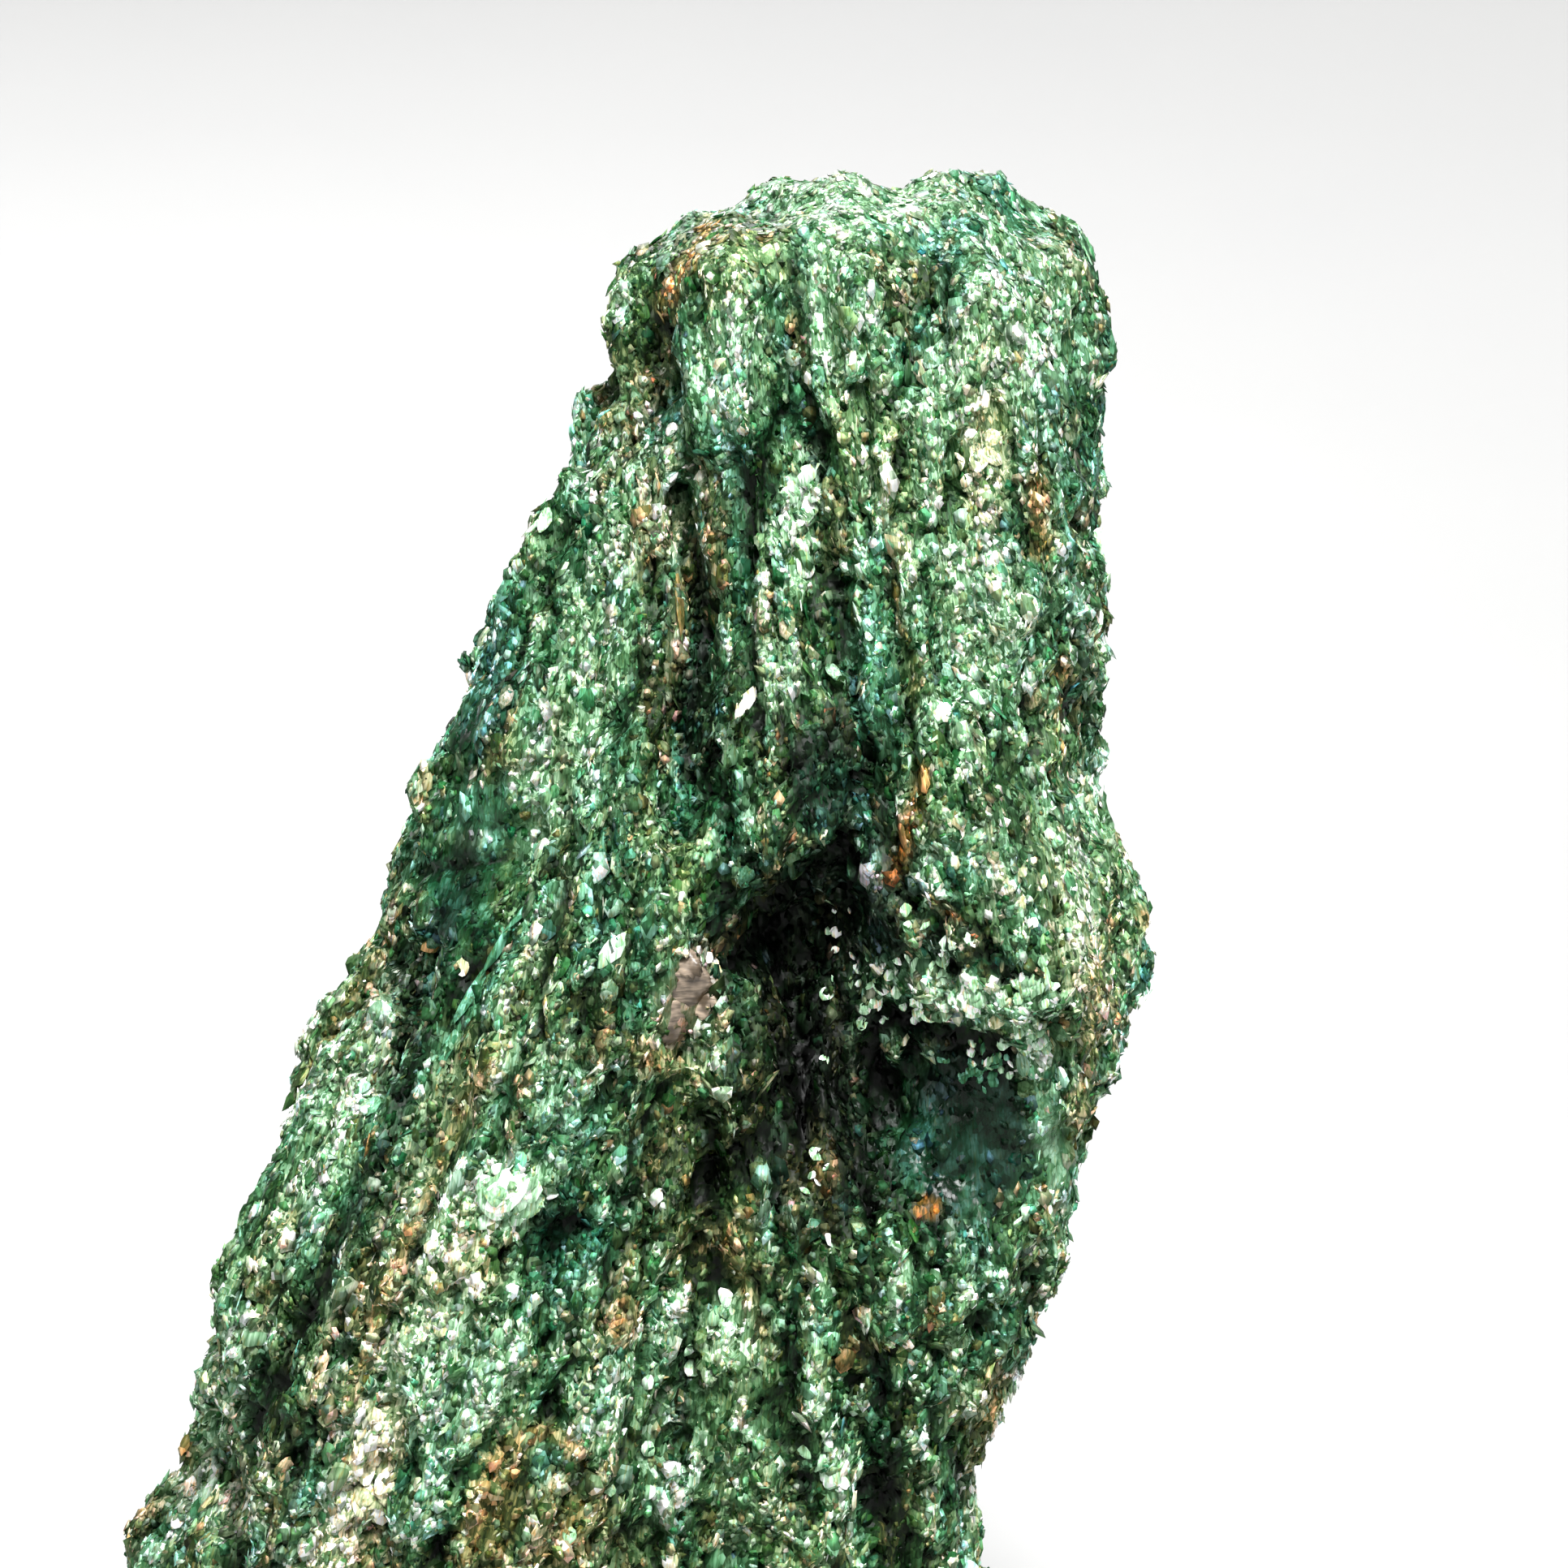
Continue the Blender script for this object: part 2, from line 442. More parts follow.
SEAMS: tuple[Seam, ...] = (
    Seam(Tone.SHADE, ((9.5, 85.2), (10.0, 81.0), (10.4, 77.5), (11.0, 73.0)), 0.36, 0.60, 0.4),
    Seam(Tone.SHADE, ((12.4, 66.0), (13.3, 59.0)), 0.45, 0.70, 0.5),
    Seam(Tone.SHADE, ((17.7, 85.6), (17.9, 83.0), (18.2, 80.4)), 0.28, 0.55, 0.4),
    Seam(Tone.SHADE, ((2.9, 71.6), (4.3, 68.0), (4.4, 63.5), (3.7, 58.9), (3.3, 56.2)), 0.50, 0.70, 0.6),
    Seam(Tone.OCHRE, ((4.8, 87.4), (4.2, 85.8), (3.2, 84.2), (2.0, 82.8)), 0.45, 0.80),
    Seam(Tone.RUST, ((4.0, 85.4), (2.3, 83.0)), 0.25, 0.60),
    Seam(Tone.OLIVE, ((2.2, 82.8), (2.2, 79.0), (1.2, 76.2), (-1.3, 72.5)), 0.60, 0.60, 0.3),
    Seam(Tone.OCHRE, ((-1.2, 78.0), (-1.1, 75.6)), 0.25, 0.60),
    Seam(Tone.OLIVE, ((-3.5, 59.8), (-3.1, 47.5), (-5.8, 43.0)), 0.50, 0.65, 0.3),
    Seam(Tone.SHADE, ((-11.3, 51.0), (-6.3, 51.8)), 0.35, 0.75, 0.5),
    Seam(Tone.SHADE, ((-10.8, 53.6), (-8.6, 53.9), (-6.8, 53.3)), 0.16, 0.60, 0.2),
    Seam(Tone.SHADE, ((-11.4, 48.7), (-9.2, 49.0), (-7.2, 49.6)), 0.18, 0.60, 0.2),
    Seam(Tone.RUST, ((16.8, 57.0), (16.2, 54.0), (15.0, 50.8)), 0.50, 0.70),
    Seam(Tone.JADE, ((-4.3, 50.2), (-5.6, 47.6), (-7.0, 45.2), (-8.6, 43.0), (-10.0, 41.0)), 0.45, 0.90),
    Seam(Tone.SHADE, ((15.0, 51.4), (17.0, 49.8), (19.4, 47.6), (21.8, 45.4)), 0.35, 0.75, 0.5),
    Seam(Tone.RUST, ((17.4, 49.4), (19.8, 47.2)), 0.22, 0.45),
    Seam(Tone.SHADE, ((6.4, 46.0), (8.6, 49.6), (10.6, 51.6), (12.6, 51.9)), 0.80, 0.85, 0.6),
    Seam(Tone.OCHRE, ((5.6, 46.6), (8.2, 50.6), (10.2, 52.8)), 0.35, 0.25),
    Seam(Tone.SHADE, ((15.6, 49.8), (17.2, 47.4), (18.6, 45.4)), 0.45, 0.85, 0.5),
    Seam(Tone.SHADE, ((14.6, 42.8), (18.2, 41.6), (21.8, 40.6)), 0.75, 0.95, 0.9),
    Seam(Tone.SHADE, ((14.4, 43.4), (14.2, 40.6), (15.2, 37.6)), 0.60, 0.90, 0.8),
    Seam(Tone.OCHRE, ((26.6, 45.4), (26.2, 41.0), (25.0, 37.0)), 0.50, 0.60),
    Seam(Tone.SHADE, ((-12.2, 42.0), (-12.6, 37.0), (-15.6, 30.7), (-19.1, 23.7), (-21.9, 16.0),
                      (-23.2, 6.0)), 0.60, 0.65, 0.6),
    Seam(Tone.OLIVE, ((-9.0, 41.0), (-11.0, 36.0), (-14.0, 29.0), (-17.0, 20.0)), 0.70, 0.50),
    Seam(Tone.OCHRE, ((-7.2, 41.5), (-10.2, 34.5), (-13.2, 27.5), (-15.4, 21.0)), 0.50, 0.75),
    Seam(Tone.RUST, ((-8.6, 39.0), (-11.4, 32.0), (-14.0, 26.0)), 0.26, 0.25),
    Seam(Tone.OCHRE, ((5.8, 31.0), (6.8, 27.4), (8.2, 24.0)), 0.50, 0.75),
    Seam(Tone.OCHRE, ((-9.0, 14.0), (-7.4, 18.0), (-4.6, 19.8), (-2.4, 18.6)), 0.50, 0.80),
    Seam(Tone.OLIVE, ((-2.2, 18.0), (-0.6, 14.6), (0.4, 11.8)), 0.50, 0.70),
    Seam(Tone.OLIVE, ((-11.8, 35.5), (-15.2, 27.5), (-18.6, 19.0), (-20.6, 10.0)), 0.40, 0.75, 0.4),
    Seam(Tone.SHADE, ((-8.6, 37.0), (-11.8, 29.6), (-14.4, 22.6)), 0.20, 0.75, 0.4),
    Seam(Tone.SHADE, ((-16.9, 34.5), (-20.2, 25.0), (-22.0, 20.0)), 0.26, 0.60, 0.4),
    Seam(Tone.OCHRE, ((-18.4, 32.0), (-21.0, 24.0)), 0.26, 0.60),
    Seam(Tone.SHADE, ((-15.6, 25.0), (-18.2, 17.0), (-20.0, 9.0)), 0.22, 0.70, 0.4),
    Seam(Tone.OLIVE, ((7.4, 40.0), (7.0, 33.0), (7.6, 26.0)), 0.45, 0.65, 0.3),
    Seam(Tone.SHADE, ((-0.6, 57.0), (-0.9, 49.0), (-2.6, 42.0)), 0.20, 0.60, 0.3),
    Seam(Tone.OLIVE, ((0.8, 52.0), (-0.2, 45.0), (-2.0, 40.0)), 0.26, 0.55),
    Seam(Tone.SHADE, ((7.0, 70.0), (7.4, 62.0), (7.0, 56.0)), 0.22, 0.60, 0.4),
    Seam(Tone.OLIVE, ((14.9, 71.0), (15.6, 64.0), (15.9, 58.0)), 0.30, 0.60, 0.3),
    Seam(Tone.SHADE, ((4.6, 36.6), (5.1, 32.5), (5.5, 27.1)), 0.50, 0.65, 0.5),
    Seam(Tone.SHADE, ((3.1, 24.6), (3.4, 21.6), (3.1, 18.9)), 0.40, 0.90, 0.8),
    Seam(Tone.SHADE, ((12.2, 28.0), (14.0, 23.0), (15.4, 16.0)), 0.50, 0.55, 0.5),
    Seam(Tone.SHADE, ((8.6, 31.0), (9.6, 24.0), (10.2, 15.0)), 0.40, 0.50, 0.4),
    Seam(Tone.CREAM, ((-13.4, 20.4), (-14.4, 18.0), (-15.2, 15.6), (-16.6, 12.4), (-17.8, 6.6)), 1.30, 1.00),
    Seam(Tone.PINK, ((-12.7, 19.6), (-13.6, 16.6), (-15.2, 12.4), (-16.2, 7.0)), 0.50, 0.35),
)


def chances(cells: np.ndarray, seed: int, count: int) -> np.ndarray:
    """Random numbers from 0 to 1 that belong to the cells of a grid.

    Args:
        cells: Whole-numbered places, one row each.
        seed: Gives each use numbers of its own.
        count: How many numbers each cell gets.

    Returns:
        One row of numbers for each cell.
    """
    factors = LOT_STARTS[:, None] + np.outer(LOT_STEPS, np.arange(1, count + 1))
    keys = cells @ factors + seed
    return np.abs(np.modf(np.sin(keys) * LOT_SCALE)[0])


@dataclass(frozen=True)
class Bundles:
    """Mica plates that lie together in small rounded bundles, each turned and toned its own way."""

    width: float = 0.85
    length: float = 3.4
    follow: float = 0.75
    warp: float = 0.6
    warp_grains: tuple[Grain, Grain] = (Grain(2.4, 4.0, 1, 61.3), Grain(2.4, 4.0, 1, 67.9))
    margin: float = 0.15
    freedom: float = 0.7
    seed: int = 5
    foliation: Foliation = Foliation()

    def at(self, points: np.ndarray) -> tuple[np.ndarray, np.ndarray]:
        """Which bundle each point belongs to.

        Args:
            points: Places in millimetres, one row each.

        Returns:
            The random numbers of its bundle for each point, and how far it is from the rim.
        """
        layers = self.foliation.places(points, self.follow)
        for axis, grain in enumerate(self.warp_grains):
            layers[:, axis] += self.warp * lumps(points, grain)
        grid = layers / np.array((self.width, self.width, self.length))
        corner = np.floor(grid)
        nearest, second = np.full((2, len(points)), np.inf)
        own = np.zeros((len(points), BUNDLE_LOTS))
        for step in itertools.product((-1, 0, 1), repeat=3):
            cells = corner + np.array(step)
            lots = chances(cells, self.seed, 3 + BUNDLE_LOTS)
            away = np.linalg.norm(grid - cells - self.margin - self.freedom * lots[:, :3], axis=1)
            closer = away < nearest
            second = np.where(closer, nearest, np.minimum(second, away))
            nearest = np.where(closer, away, nearest)
            own[closer] = lots[closer, 3:]
        return own, second - nearest


@dataclass(frozen=True)
class Colouring:
    """Works out the schist's colour anywhere on the stone.

    The grains of its streaks and lumps stand first, and how much they do after them.
    """

    view: FrontView = FrontView()
    foliation: Foliation = Foliation()
    bundles: Bundles = Bundles()
    thread_streaks: Grain = Grain(0.38, 6.0, 1, 43.1)
    broad_streaks: Grain = Grain(5.0, 16.0, 2, 11.3)
    fine_streaks: Grain = Grain(1.1, 7.0, 2, 23.7)
    warm_streaks: Grain = Grain(2.2, 15.0, 1, 37.1)
    warm_threads: Grain = Grain(0.60, 8.0, 1, 33.3)
    cool_lumps: Grain = Grain(3.6, 3.6, 2, 51.9)
    hue_lumps: Grain = Grain(5.5, 9.0, 1, 57.7)
    hue_streaks: Grain = Grain(1.4, 9.0, 1, 47.3)
    dark_streaks: Grain = Grain(0.95, 7.5, 2, 83.1)
    dark_lumps: Grain = Grain(1.2, 1.7, 2, 91.7)
    dark_bands: Grain = Grain(3.4, 10.0, 1, 97.3)
    ragged_lumps: Grain = Grain(1.3, 1.3 * 1.8, 2, 71.3)
    smooth_lumps: Grain = Grain(0.9, 1.3, 3, 31.7)
    front_edge: Limits = (-0.15, 0.25)
    warm_share: float = 0.8
    warm_thread_share: float = 0.7
    lump_share: float = 0.35
    mottle: float = 0.85
    thread_mottle: float = 1.05
    bundle_mottle: float = 0.75
    broad_mottle: float = 0.7
    hue_shift: float = 0.34
    rim_width: float = 0.20
    rim_shade: float = 0.42
    calm: float = 0.72
    calm_level: float = 1.35
    smooth_level: float = 0.62
    smooth_mottle: float = 2.2
    smooth_most: float = 0.9
    darkest: float = 0.05
    dark_below: float = -1.1
    light_above: float = 0.25

    def front_share(self, normals: np.ndarray) -> np.ndarray:
        """How far each place belongs to the front."""
        return soft_step(-normals[:, 1], *self.front_edge)

    def smooth_share(self, points: np.ndarray, normals: np.ndarray) -> np.ndarray:
        """How far each place belongs to the smooth glassy spots, where hardly a flake lies."""
        places = self.view.seen(points)
        still = np.zeros(len(points))
        spots = [spot.weight(places, still) for spot in SMOOTH_SPOTS]
        return self.front_share(normals) * np.max(spots, axis=0)

    def threads(self, points: np.ndarray) -> np.ndarray:
        """Thin threads of mica along the layers: above 0 on them, and below 0 in the gaps between."""
        return self.foliation.streaks(points, self.thread_streaks)

    def grown(self, points: np.ndarray, tone_lot: np.ndarray) -> np.ndarray:
        """The colours that run through the whole stone, in streaks along its layers.

        Args:
            points: Places in millimetres, one row each.
            tone_lot: A random number for the bundle that each point belongs to.

        Returns:
            Linear red, green and blue, one row for each point.
        """
        streaks = self.foliation.streaks
        broad, fine = streaks(points, self.broad_streaks), streaks(points, self.fine_streaks)
        warm = self.warm_share * streaks(points, self.warm_streaks)
        warm += self.warm_thread_share * streaks(points, self.warm_threads)
        cool = lumps(points, self.cool_lumps)
        hue = self.hue_shift * (lumps(points, self.hue_lumps) + streaks(points, self.hue_streaks))
        colours = np.tile(Tone.GREEN.value, (len(points), 1))
        # Each tone, its strength, what it follows, and where it begins and is full
        for tone, strength, signal, low, high in (
            (Tone.MINT, 0.40, broad + 0.8 * fine, -0.10, 0.80),
            (Tone.MINT, 0.40, tone_lot, 0.66, 0.80),
            (Tone.DEEP, 0.70, -fine - 0.4 * broad, 0.10, 0.60),
            (Tone.DEEP, 0.50, -tone_lot, -0.24, -0.14),
            (Tone.JADE, 0.75, cool, -0.05, 0.30),
            (Tone.OLIVE, 0.80, warm, 0.10, 0.40),
            (Tone.CREAM, 0.50, warm - 0.8 * cool, 0.66, 0.95),
            (Tone.RUST, 0.55, -warm + 0.6 * cool, 0.70, 0.95),
        ):
            colours = blended(colours, tone, strength * soft_step(signal, low, high))
        return colours * np.exp(hue[:, None] * HUE_TURN)

    def light_and_dark(self, points: np.ndarray, heights: np.ndarray, level_lot: np.ndarray,
                       rims: np.ndarray) -> np.ndarray:
        """How light each place is: dark between the layers and the bundles, light on top of them.

        Args:
            points: Places in millimetres, one row each.
            heights: How far each stands out of the rounded stone.
            level_lot: A random number for the bundle that each point belongs to.
            rims: How far each point is from its bundle's rim.

        Returns:
            A factor for each point.
        """
        streaks = self.foliation.streaks(points, self.dark_streaks)
        clumps = lumps(points, self.dark_lumps)
        bands = self.foliation.streaks(points, self.dark_bands)
        level = np.exp(self.mottle * (streaks + self.lump_share * clumps)
                       + self.thread_mottle * self.threads(points) + self.broad_mottle * bands
                       + self.bundle_mottle * (level_lot - 0.5))
        open_share = soft_step(heights, self.dark_below, self.light_above)
        inside = self.rim_shade + (1.0 - self.rim_shade) * soft_step(rims, 0.0, self.rim_width)
        return level * inside * (self.darkest + (1.0 - self.darkest) * open_share)

    def at(self, points: np.ndarray, normals: np.ndarray, heights: np.ndarray) -> np.ndarray:
        """The colour at each point.

        Args:
            points: Places in millimetres, one row each.
            normals: The way that the surface faces at each of them.
            heights: How far each stands out of the rounded stone.

        Returns:
            Linear red, green and blue, one row for each point.
        """
        own, rims = self.bundles.at(points)
        colours = self.grown(points, own[:, TONE_LOT])
        places = self.view.seen(points)
        ragged = lumps(points, self.ragged_lumps)
        front = self.front_share(normals)
        still = np.zeros(len(points))
        for mark in PATCHES + SEAMS:
            weight = mark.weight(places, ragged) * front
            colours = blended(colours, mark.tone, weight)
            if mark.tone in CALM_TONES:
                still = np.maximum(still, self.calm * weight)
        level = self.light_and_dark(points, heights, own[:, LEVEL_LOT], rims)
        level = level + (self.calm_level - level) * still
        glassy = self.smooth_level * np.exp(self.smooth_mottle * lumps(points, self.smooth_lumps))
        level = level + (glassy - level) * self.smooth_most * self.smooth_share(points, normals)
        return colours * level[:, None] ** DARKENING


def blended(colours: np.ndarray, tone: Tone, weight: np.ndarray) -> np.ndarray:
    """Colours moved towards a tone by a weight for each."""
    share = np.clip(weight, 0.0, 1.0)[:, None]
    return colours * (1.0 - share) + np.array(tone.value) * share


class Value:
    """A socket that can be used in sums: each operator adds a Math node."""

    def __init__(self, tree: bpy.types.NodeTree, socket: bpy.types.NodeSocket) -> None:
        """Wraps a socket of a node tree."""
        self.tree = tree
        self.socket = socket

    def _math(self, operation: str, *terms: Any) -> "Value":
        """Adds a Math node and returns its result."""
        node = self.tree.nodes.new("ShaderNodeMath")
        node.operation = operation
        for socket, term in zip(node.inputs, terms):
            if isinstance(term, Value):
                self.tree.links.new(term.socket, socket)
            else:
                socket.default_value = term
        return Value(self.tree, node.outputs[0])

    def __add__(self, other: Any) -> "Value":
        """This value plus another."""
        return self._math("ADD", self, other)

    def __radd__(self, other: Any) -> "Value":
        """Another value plus this one."""
        return self._math("ADD", other, self)

    def __sub__(self, other: Any) -> "Value":
        """This value less another."""
        return self._math("SUBTRACT", self, other)

    def __rsub__(self, other: Any) -> "Value":
        """Another value less this one."""
        return self._math("SUBTRACT", other, self)

    def __mul__(self, other: Any) -> "Value":
        """This value times another."""
        return self._math("MULTIPLY", self, other)

    def __rmul__(self, other: Any) -> "Value":
        """Another value times this one."""
        return self._math("MULTIPLY", other, self)

    def __truediv__(self, other: Any) -> "Value":
        """This value divided by another."""
        return self._math("DIVIDE", self, other)

    def __rtruediv__(self, other: Any) -> "Value":
        """Another value divided by this one."""
        return self._math("DIVIDE", other, self)

    def power(self, exponent: float) -> "Value":
        """This value raised to a power."""
        return self._math("POWER", self, exponent)

    def clamped(self, low: float, high: float) -> "Value":
        """This value kept between two limits."""
        return self._math("MINIMUM", self._math("MAXIMUM", self, low), high)


class Recipe:
    """A new material whose nodes are added by name."""

    def __init__(self, name: str) -> None:
        """Starts a material with only its shader."""
        self.material = bpy.data.materials.new(name)
        self.material.use_nodes = True
        self.tree = self.material.node_tree
        self.shader = self.tree.nodes["Principled BSDF"]

    def node(self, kind: str, settings: dict[str, Any] | None = None, **inputs: Any) -> bpy.types.Node:
        """Adds a node.

        Args:
            kind: The node's type.
            settings: Properties of the node, which are set first.
            **inputs: Values or links of its sockets; an underscore stands for a space.

        Returns:
            The new node.
        """
        node = self.tree.nodes.new(kind)
        for name, value in (settings or {}).items():
            setattr(node, name, value)
        for name, value in inputs.items():
            self.feed(node.inputs[name.replace("_", " ")], value)
        return node

    def feed(self, socket: bpy.types.NodeSocket, value: Any) -> None:
        """Links or sets one socket."""
        if isinstance(value, Value):
            self.tree.links.new(value.socket, socket)
        elif isinstance(value, bpy.types.NodeSocket):
            self.tree.links.new(value, socket)
        else:
            socket.default_value = value

    def value(self, socket: bpy.types.NodeSocket) -> Value:
        """Wraps a socket for use in sums."""
        return Value(self.tree, socket)

    def lots(self, texture: bpy.types.Node) -> list[Value]:
        """The random numbers in the red, green and blue of a texture's colour."""
        parts = self.node("ShaderNodeSeparateColor", Color=texture.outputs["Color"])
        return [self.value(part) for part in parts.outputs]

    def position(self, stretch: Triple) -> bpy.types.NodeSocket:
        """Object coordinates times a stretch along each axis."""
        place = self.node("ShaderNodeTexCoord").outputs["Object"]
        return self.node("ShaderNodeMapping", Vector=place, Scale=stretch).outputs["Vector"]

    def cloud(self, stretch: Triple, detail: float) -> Value:
        """Soft noise on stretched Object coordinates, from 0 to 1."""
        noisy = self.node("ShaderNodeTexNoise", Vector=self.position(stretch), Scale=1.0, Detail=detail)
        return self.value(noisy.outputs["Fac"])

    def joined(self, *parts: Any) -> bpy.types.NodeSocket:
        """Makes a vector of three values."""
        return self.node("ShaderNodeCombineXYZ", X=parts[0], Y=parts[1], Z=parts[2]).outputs["Vector"]

    def attribute(self, name: str) -> bpy.types.Node:
        """Reads one of the piece's own attributes."""
        return self.node("ShaderNodeAttribute", {"attribute_name": name})

    def mixed(self, share: Any, first: Any, second: Any, blend: str = "MIX") -> bpy.types.NodeSocket:
        """Mixes two colours by a share from 0 to 1."""
        node = self.node("ShaderNodeMix", {"data_type": "RGBA", "blend_type": blend, "clamp_result": True})
        for name, value in (("Factor_Float", share), ("A_Color", first), ("B_Color", second)):
            socket = next(s for s in node.inputs if s.identifier == name)
            self.feed(socket, value)
        return next(s for s in node.outputs if s.identifier == "Result_Color")

    def shaded(self, colour: Any, red: Any, green: Any, blue: Any) -> bpy.types.NodeSocket:
        """A colour with its red, green and blue each multiplied by a value."""
        shade = self.node("ShaderNodeCombineColor", Red=red, Green=green, Blue=blue).outputs["Color"]
        return self.mixed(1.0, colour, shade, "MULTIPLY")

    def vector(self, operation: str, first: Any, second: Any) -> bpy.types.NodeSocket:
        """Joins two vectors by a Vector Math operation."""
        node = self.node("ShaderNodeVectorMath", {"operation": operation})
        self.feed(node.inputs[0], first)
        self.feed(node.inputs[1], second)
        return node.outputs["Vector"]

    def finish(self, **inputs: Any) -> bpy.types.Material:
        """Sets or links sockets of the shader and returns the material."""
        for name, value in inputs.items():
            self.feed(self.shader.inputs[name.replace("_", " ")], value)
        return self.material


@dataclass(frozen=True)
class MicaFinish:
    """Mica: a mosaic of tiny plates, each turned its own way, with fine fibres along the layers.

    The colour comes from the piece's own tone attribute, and the roughness from its alpha. Where
    the piece has a smooth attribute too, the plates and fibres fade into glassy mica.
    """

    name: str
    plate_width: float = 0.24
    plate_length: float = 0.44
    fibre_width: float = 0.09
    fibre_length: float = 1.60
    fibre_detail: float = 2.0
    plate_tilt: float = 0.50
    fibre_tilt: float = 0.50
    plate_power: float = 2.2
    plate_contrast: float = 2.1
    plate_dark: float = 0.60
    dome_top: float = 1.2
    dome_fall: float = 0.5
    fibre_contrast: float = 3.4
    fibre_limits: Limits = (0.30, 1.9)
    warm_from: float = 0.56
    warm_contrast: float = 7.0
    warm_most: float = 0.85
    warm_tint: Colour = (1.0, 0.66, 0.34, 1.0)
    contrast: float = 1.0
    brightness: float = 1.0
    specular: float = 0.14
    smoothing: float = 0.45
    follow: float = 0.5
    foliation: Foliation = Foliation()

    def layer_places(self, recipe: Recipe) -> tuple[Value, Value, Value]:
        """Where a point lies among the layers in millimetres: across them twice, then up."""
        spot = recipe.node("ShaderNodeTexCoord").outputs["Object"]
        parts = recipe.node("ShaderNodeSeparateXYZ", Vector=spot)
        across, depth, up = (recipe.value(parts.outputs[axis]) / MM for axis in "XYZ")
        fall = self.foliation.top - up
        spread = fall.clamped(0.0, self.foliation.top) * self.foliation.spread
        wider = (spread * spread + 1.0).power(0.5 * self.follow)
        shift = (fall * (0.5 * self.foliation.bend) + self.foliation.lean) * fall
        return (across - (self.foliation.middle_at_top - shift)) / wider, depth / wider, up

    def material(self) -> bpy.types.Material:
        """Builds the material."""
        recipe = Recipe(self.name)
        own = recipe.attribute("tone")
        rough = 1.0 - recipe.value(recipe.attribute("smooth").outputs["Fac"]) * self.smoothing
        across, depth, up = self.layer_places(recipe)
        width, length = self.plate_width, self.plate_length
        plates = recipe.node("ShaderNodeTexVoronoi", {"feature": "F1"}, Scale=1.0,
                             Vector=recipe.joined(across / width, depth / width, up / length))
        width, length = self.fibre_width, self.fibre_length
        fibres = recipe.node("ShaderNodeTexNoise", Scale=1.0, Detail=self.fibre_detail,
                             Vector=recipe.joined(across / width, depth / width, up / length))
        plate_lot = recipe.lots(plates)[0]
        fibre_lot, warm_lot, _ = recipe.lots(fibres)
        light = (plate_lot.power(self.plate_power) * self.plate_contrast - self.plate_dark) * rough + 1.0
        domed = self.dome_top - recipe.value(plates.outputs["Distance"]) * self.dome_fall
        streaks = ((fibre_lot - 0.5) * self.fibre_contrast * rough + 1.0).clamped(*self.fibre_limits)
        level = light * domed * streaks * self.brightness
        shades = (level.power(self.contrast * float(power)) for power in DARKENING)
        colour = recipe.shaded(own.outputs["Color"], *shades)
        warm = ((warm_lot - self.warm_from) * self.warm_contrast).clamped(0.0, self.warm_most)
        colour = recipe.mixed(warm, colour, recipe.mixed(1.0, colour, self.warm_tint, "MULTIPLY"))
        facing = recipe.node("ShaderNodeNewGeometry").outputs["Normal"]
        for lots, tilt in ((plates, self.plate_tilt), (fibres, self.fibre_tilt)):
            lean = recipe.vector("SUBTRACT", lots.outputs["Color"], (0.5, 0.5, 0.5))
            turn = rough * tilt
            step = recipe.vector("MULTIPLY", lean, recipe.joined(turn, turn, turn))
            facing = recipe.vector("ADD", facing, step)
        facing = recipe.vector("NORMALIZE", facing, (0.0, 0.0, 0.0))
        return recipe.finish(Base_Color=colour, Roughness=own.outputs["Alpha"], Normal=facing,
                             Specular_IOR_Level=self.specular)


@dataclass(frozen=True)
class FloorFinish:
    """Pale matt studio floor."""

    colour: Colour = (0.44, 0.44, 0.435, 1.0)
    second: Colour = (0.42, 0.42, 0.42, 1.0)
    clouds: Triple = (14.0, 14.0, 14.0)
    detail: float = 4.0
    roughness: float = 0.75

    def material(self) -> bpy.types.Material:
        """Builds the floor's material."""
        recipe = Recipe("studio_floor")
        colour = recipe.mixed(recipe.cloud(self.clouds, self.detail), self.colour, self.second)
        return recipe.finish(Base_Color=colour, Roughness=self.roughness)


@dataclass(frozen=True)
class FacetFinish:
    """A smooth broken face in the piece's own tone, with faint lines, cloudy spots and stains."""

    name: str
    lines: Triple
    stain: Colour
    line_detail: float = 3.0
    line_contrast: float = 3.6
    line_limits: Limits = (0.45, 1.9)
    clouds: Triple = (900.0, 900.0, 700.0)
    cloud_detail: float = 2.0
    cloud_contrast: float = 4.0
    cloud_limits: Limits = (0.4, 2.2)
    stained_below: float = 0.46
    stain_contrast: float = 8.0
    stain_most: float = 0.8
    cloud_height: float = 2.0
    bump_strength: float = 0.5
    bump_distance: float = 0.0001
    specular: float = 0.4

    def material(self) -> bpy.types.Material:
        """Builds the material."""
        recipe = Recipe(self.name)
        own = recipe.attribute("tone")
        line = recipe.cloud(self.lines, self.line_detail)
        cloud = recipe.cloud(self.clouds, self.cloud_detail)
        line_level = ((line - 0.5) * self.line_contrast + 1.0).clamped(*self.line_limits)
        cloud_level = ((cloud - 0.5) * self.cloud_contrast + 1.0).clamped(*self.cloud_limits)
        level = line_level * cloud_level
        stained = ((self.stained_below - cloud) * self.stain_contrast).clamped(0.0, self.stain_most)
        colour = recipe.mixed(stained, recipe.shaded(own.outputs["Color"], level, level, level), self.stain)
        bump = recipe.node("ShaderNodeBump", Strength=self.bump_strength, Distance=self.bump_distance,
                           Height=line + cloud * self.cloud_height)
        return recipe.finish(Base_Color=colour, Roughness=own.outputs["Alpha"],
                             Normal=bump.outputs["Normal"], Specular_IOR_Level=self.specular)


def object_from(data: bpy.types.ID, name: str) -> bpy.types.Object:
    """Adds an object that shows a mesh, or is a lamp or camera."""
    thing = bpy.data.objects.new(name, data)
    bpy.context.scene.collection.objects.link(thing)
    return thing


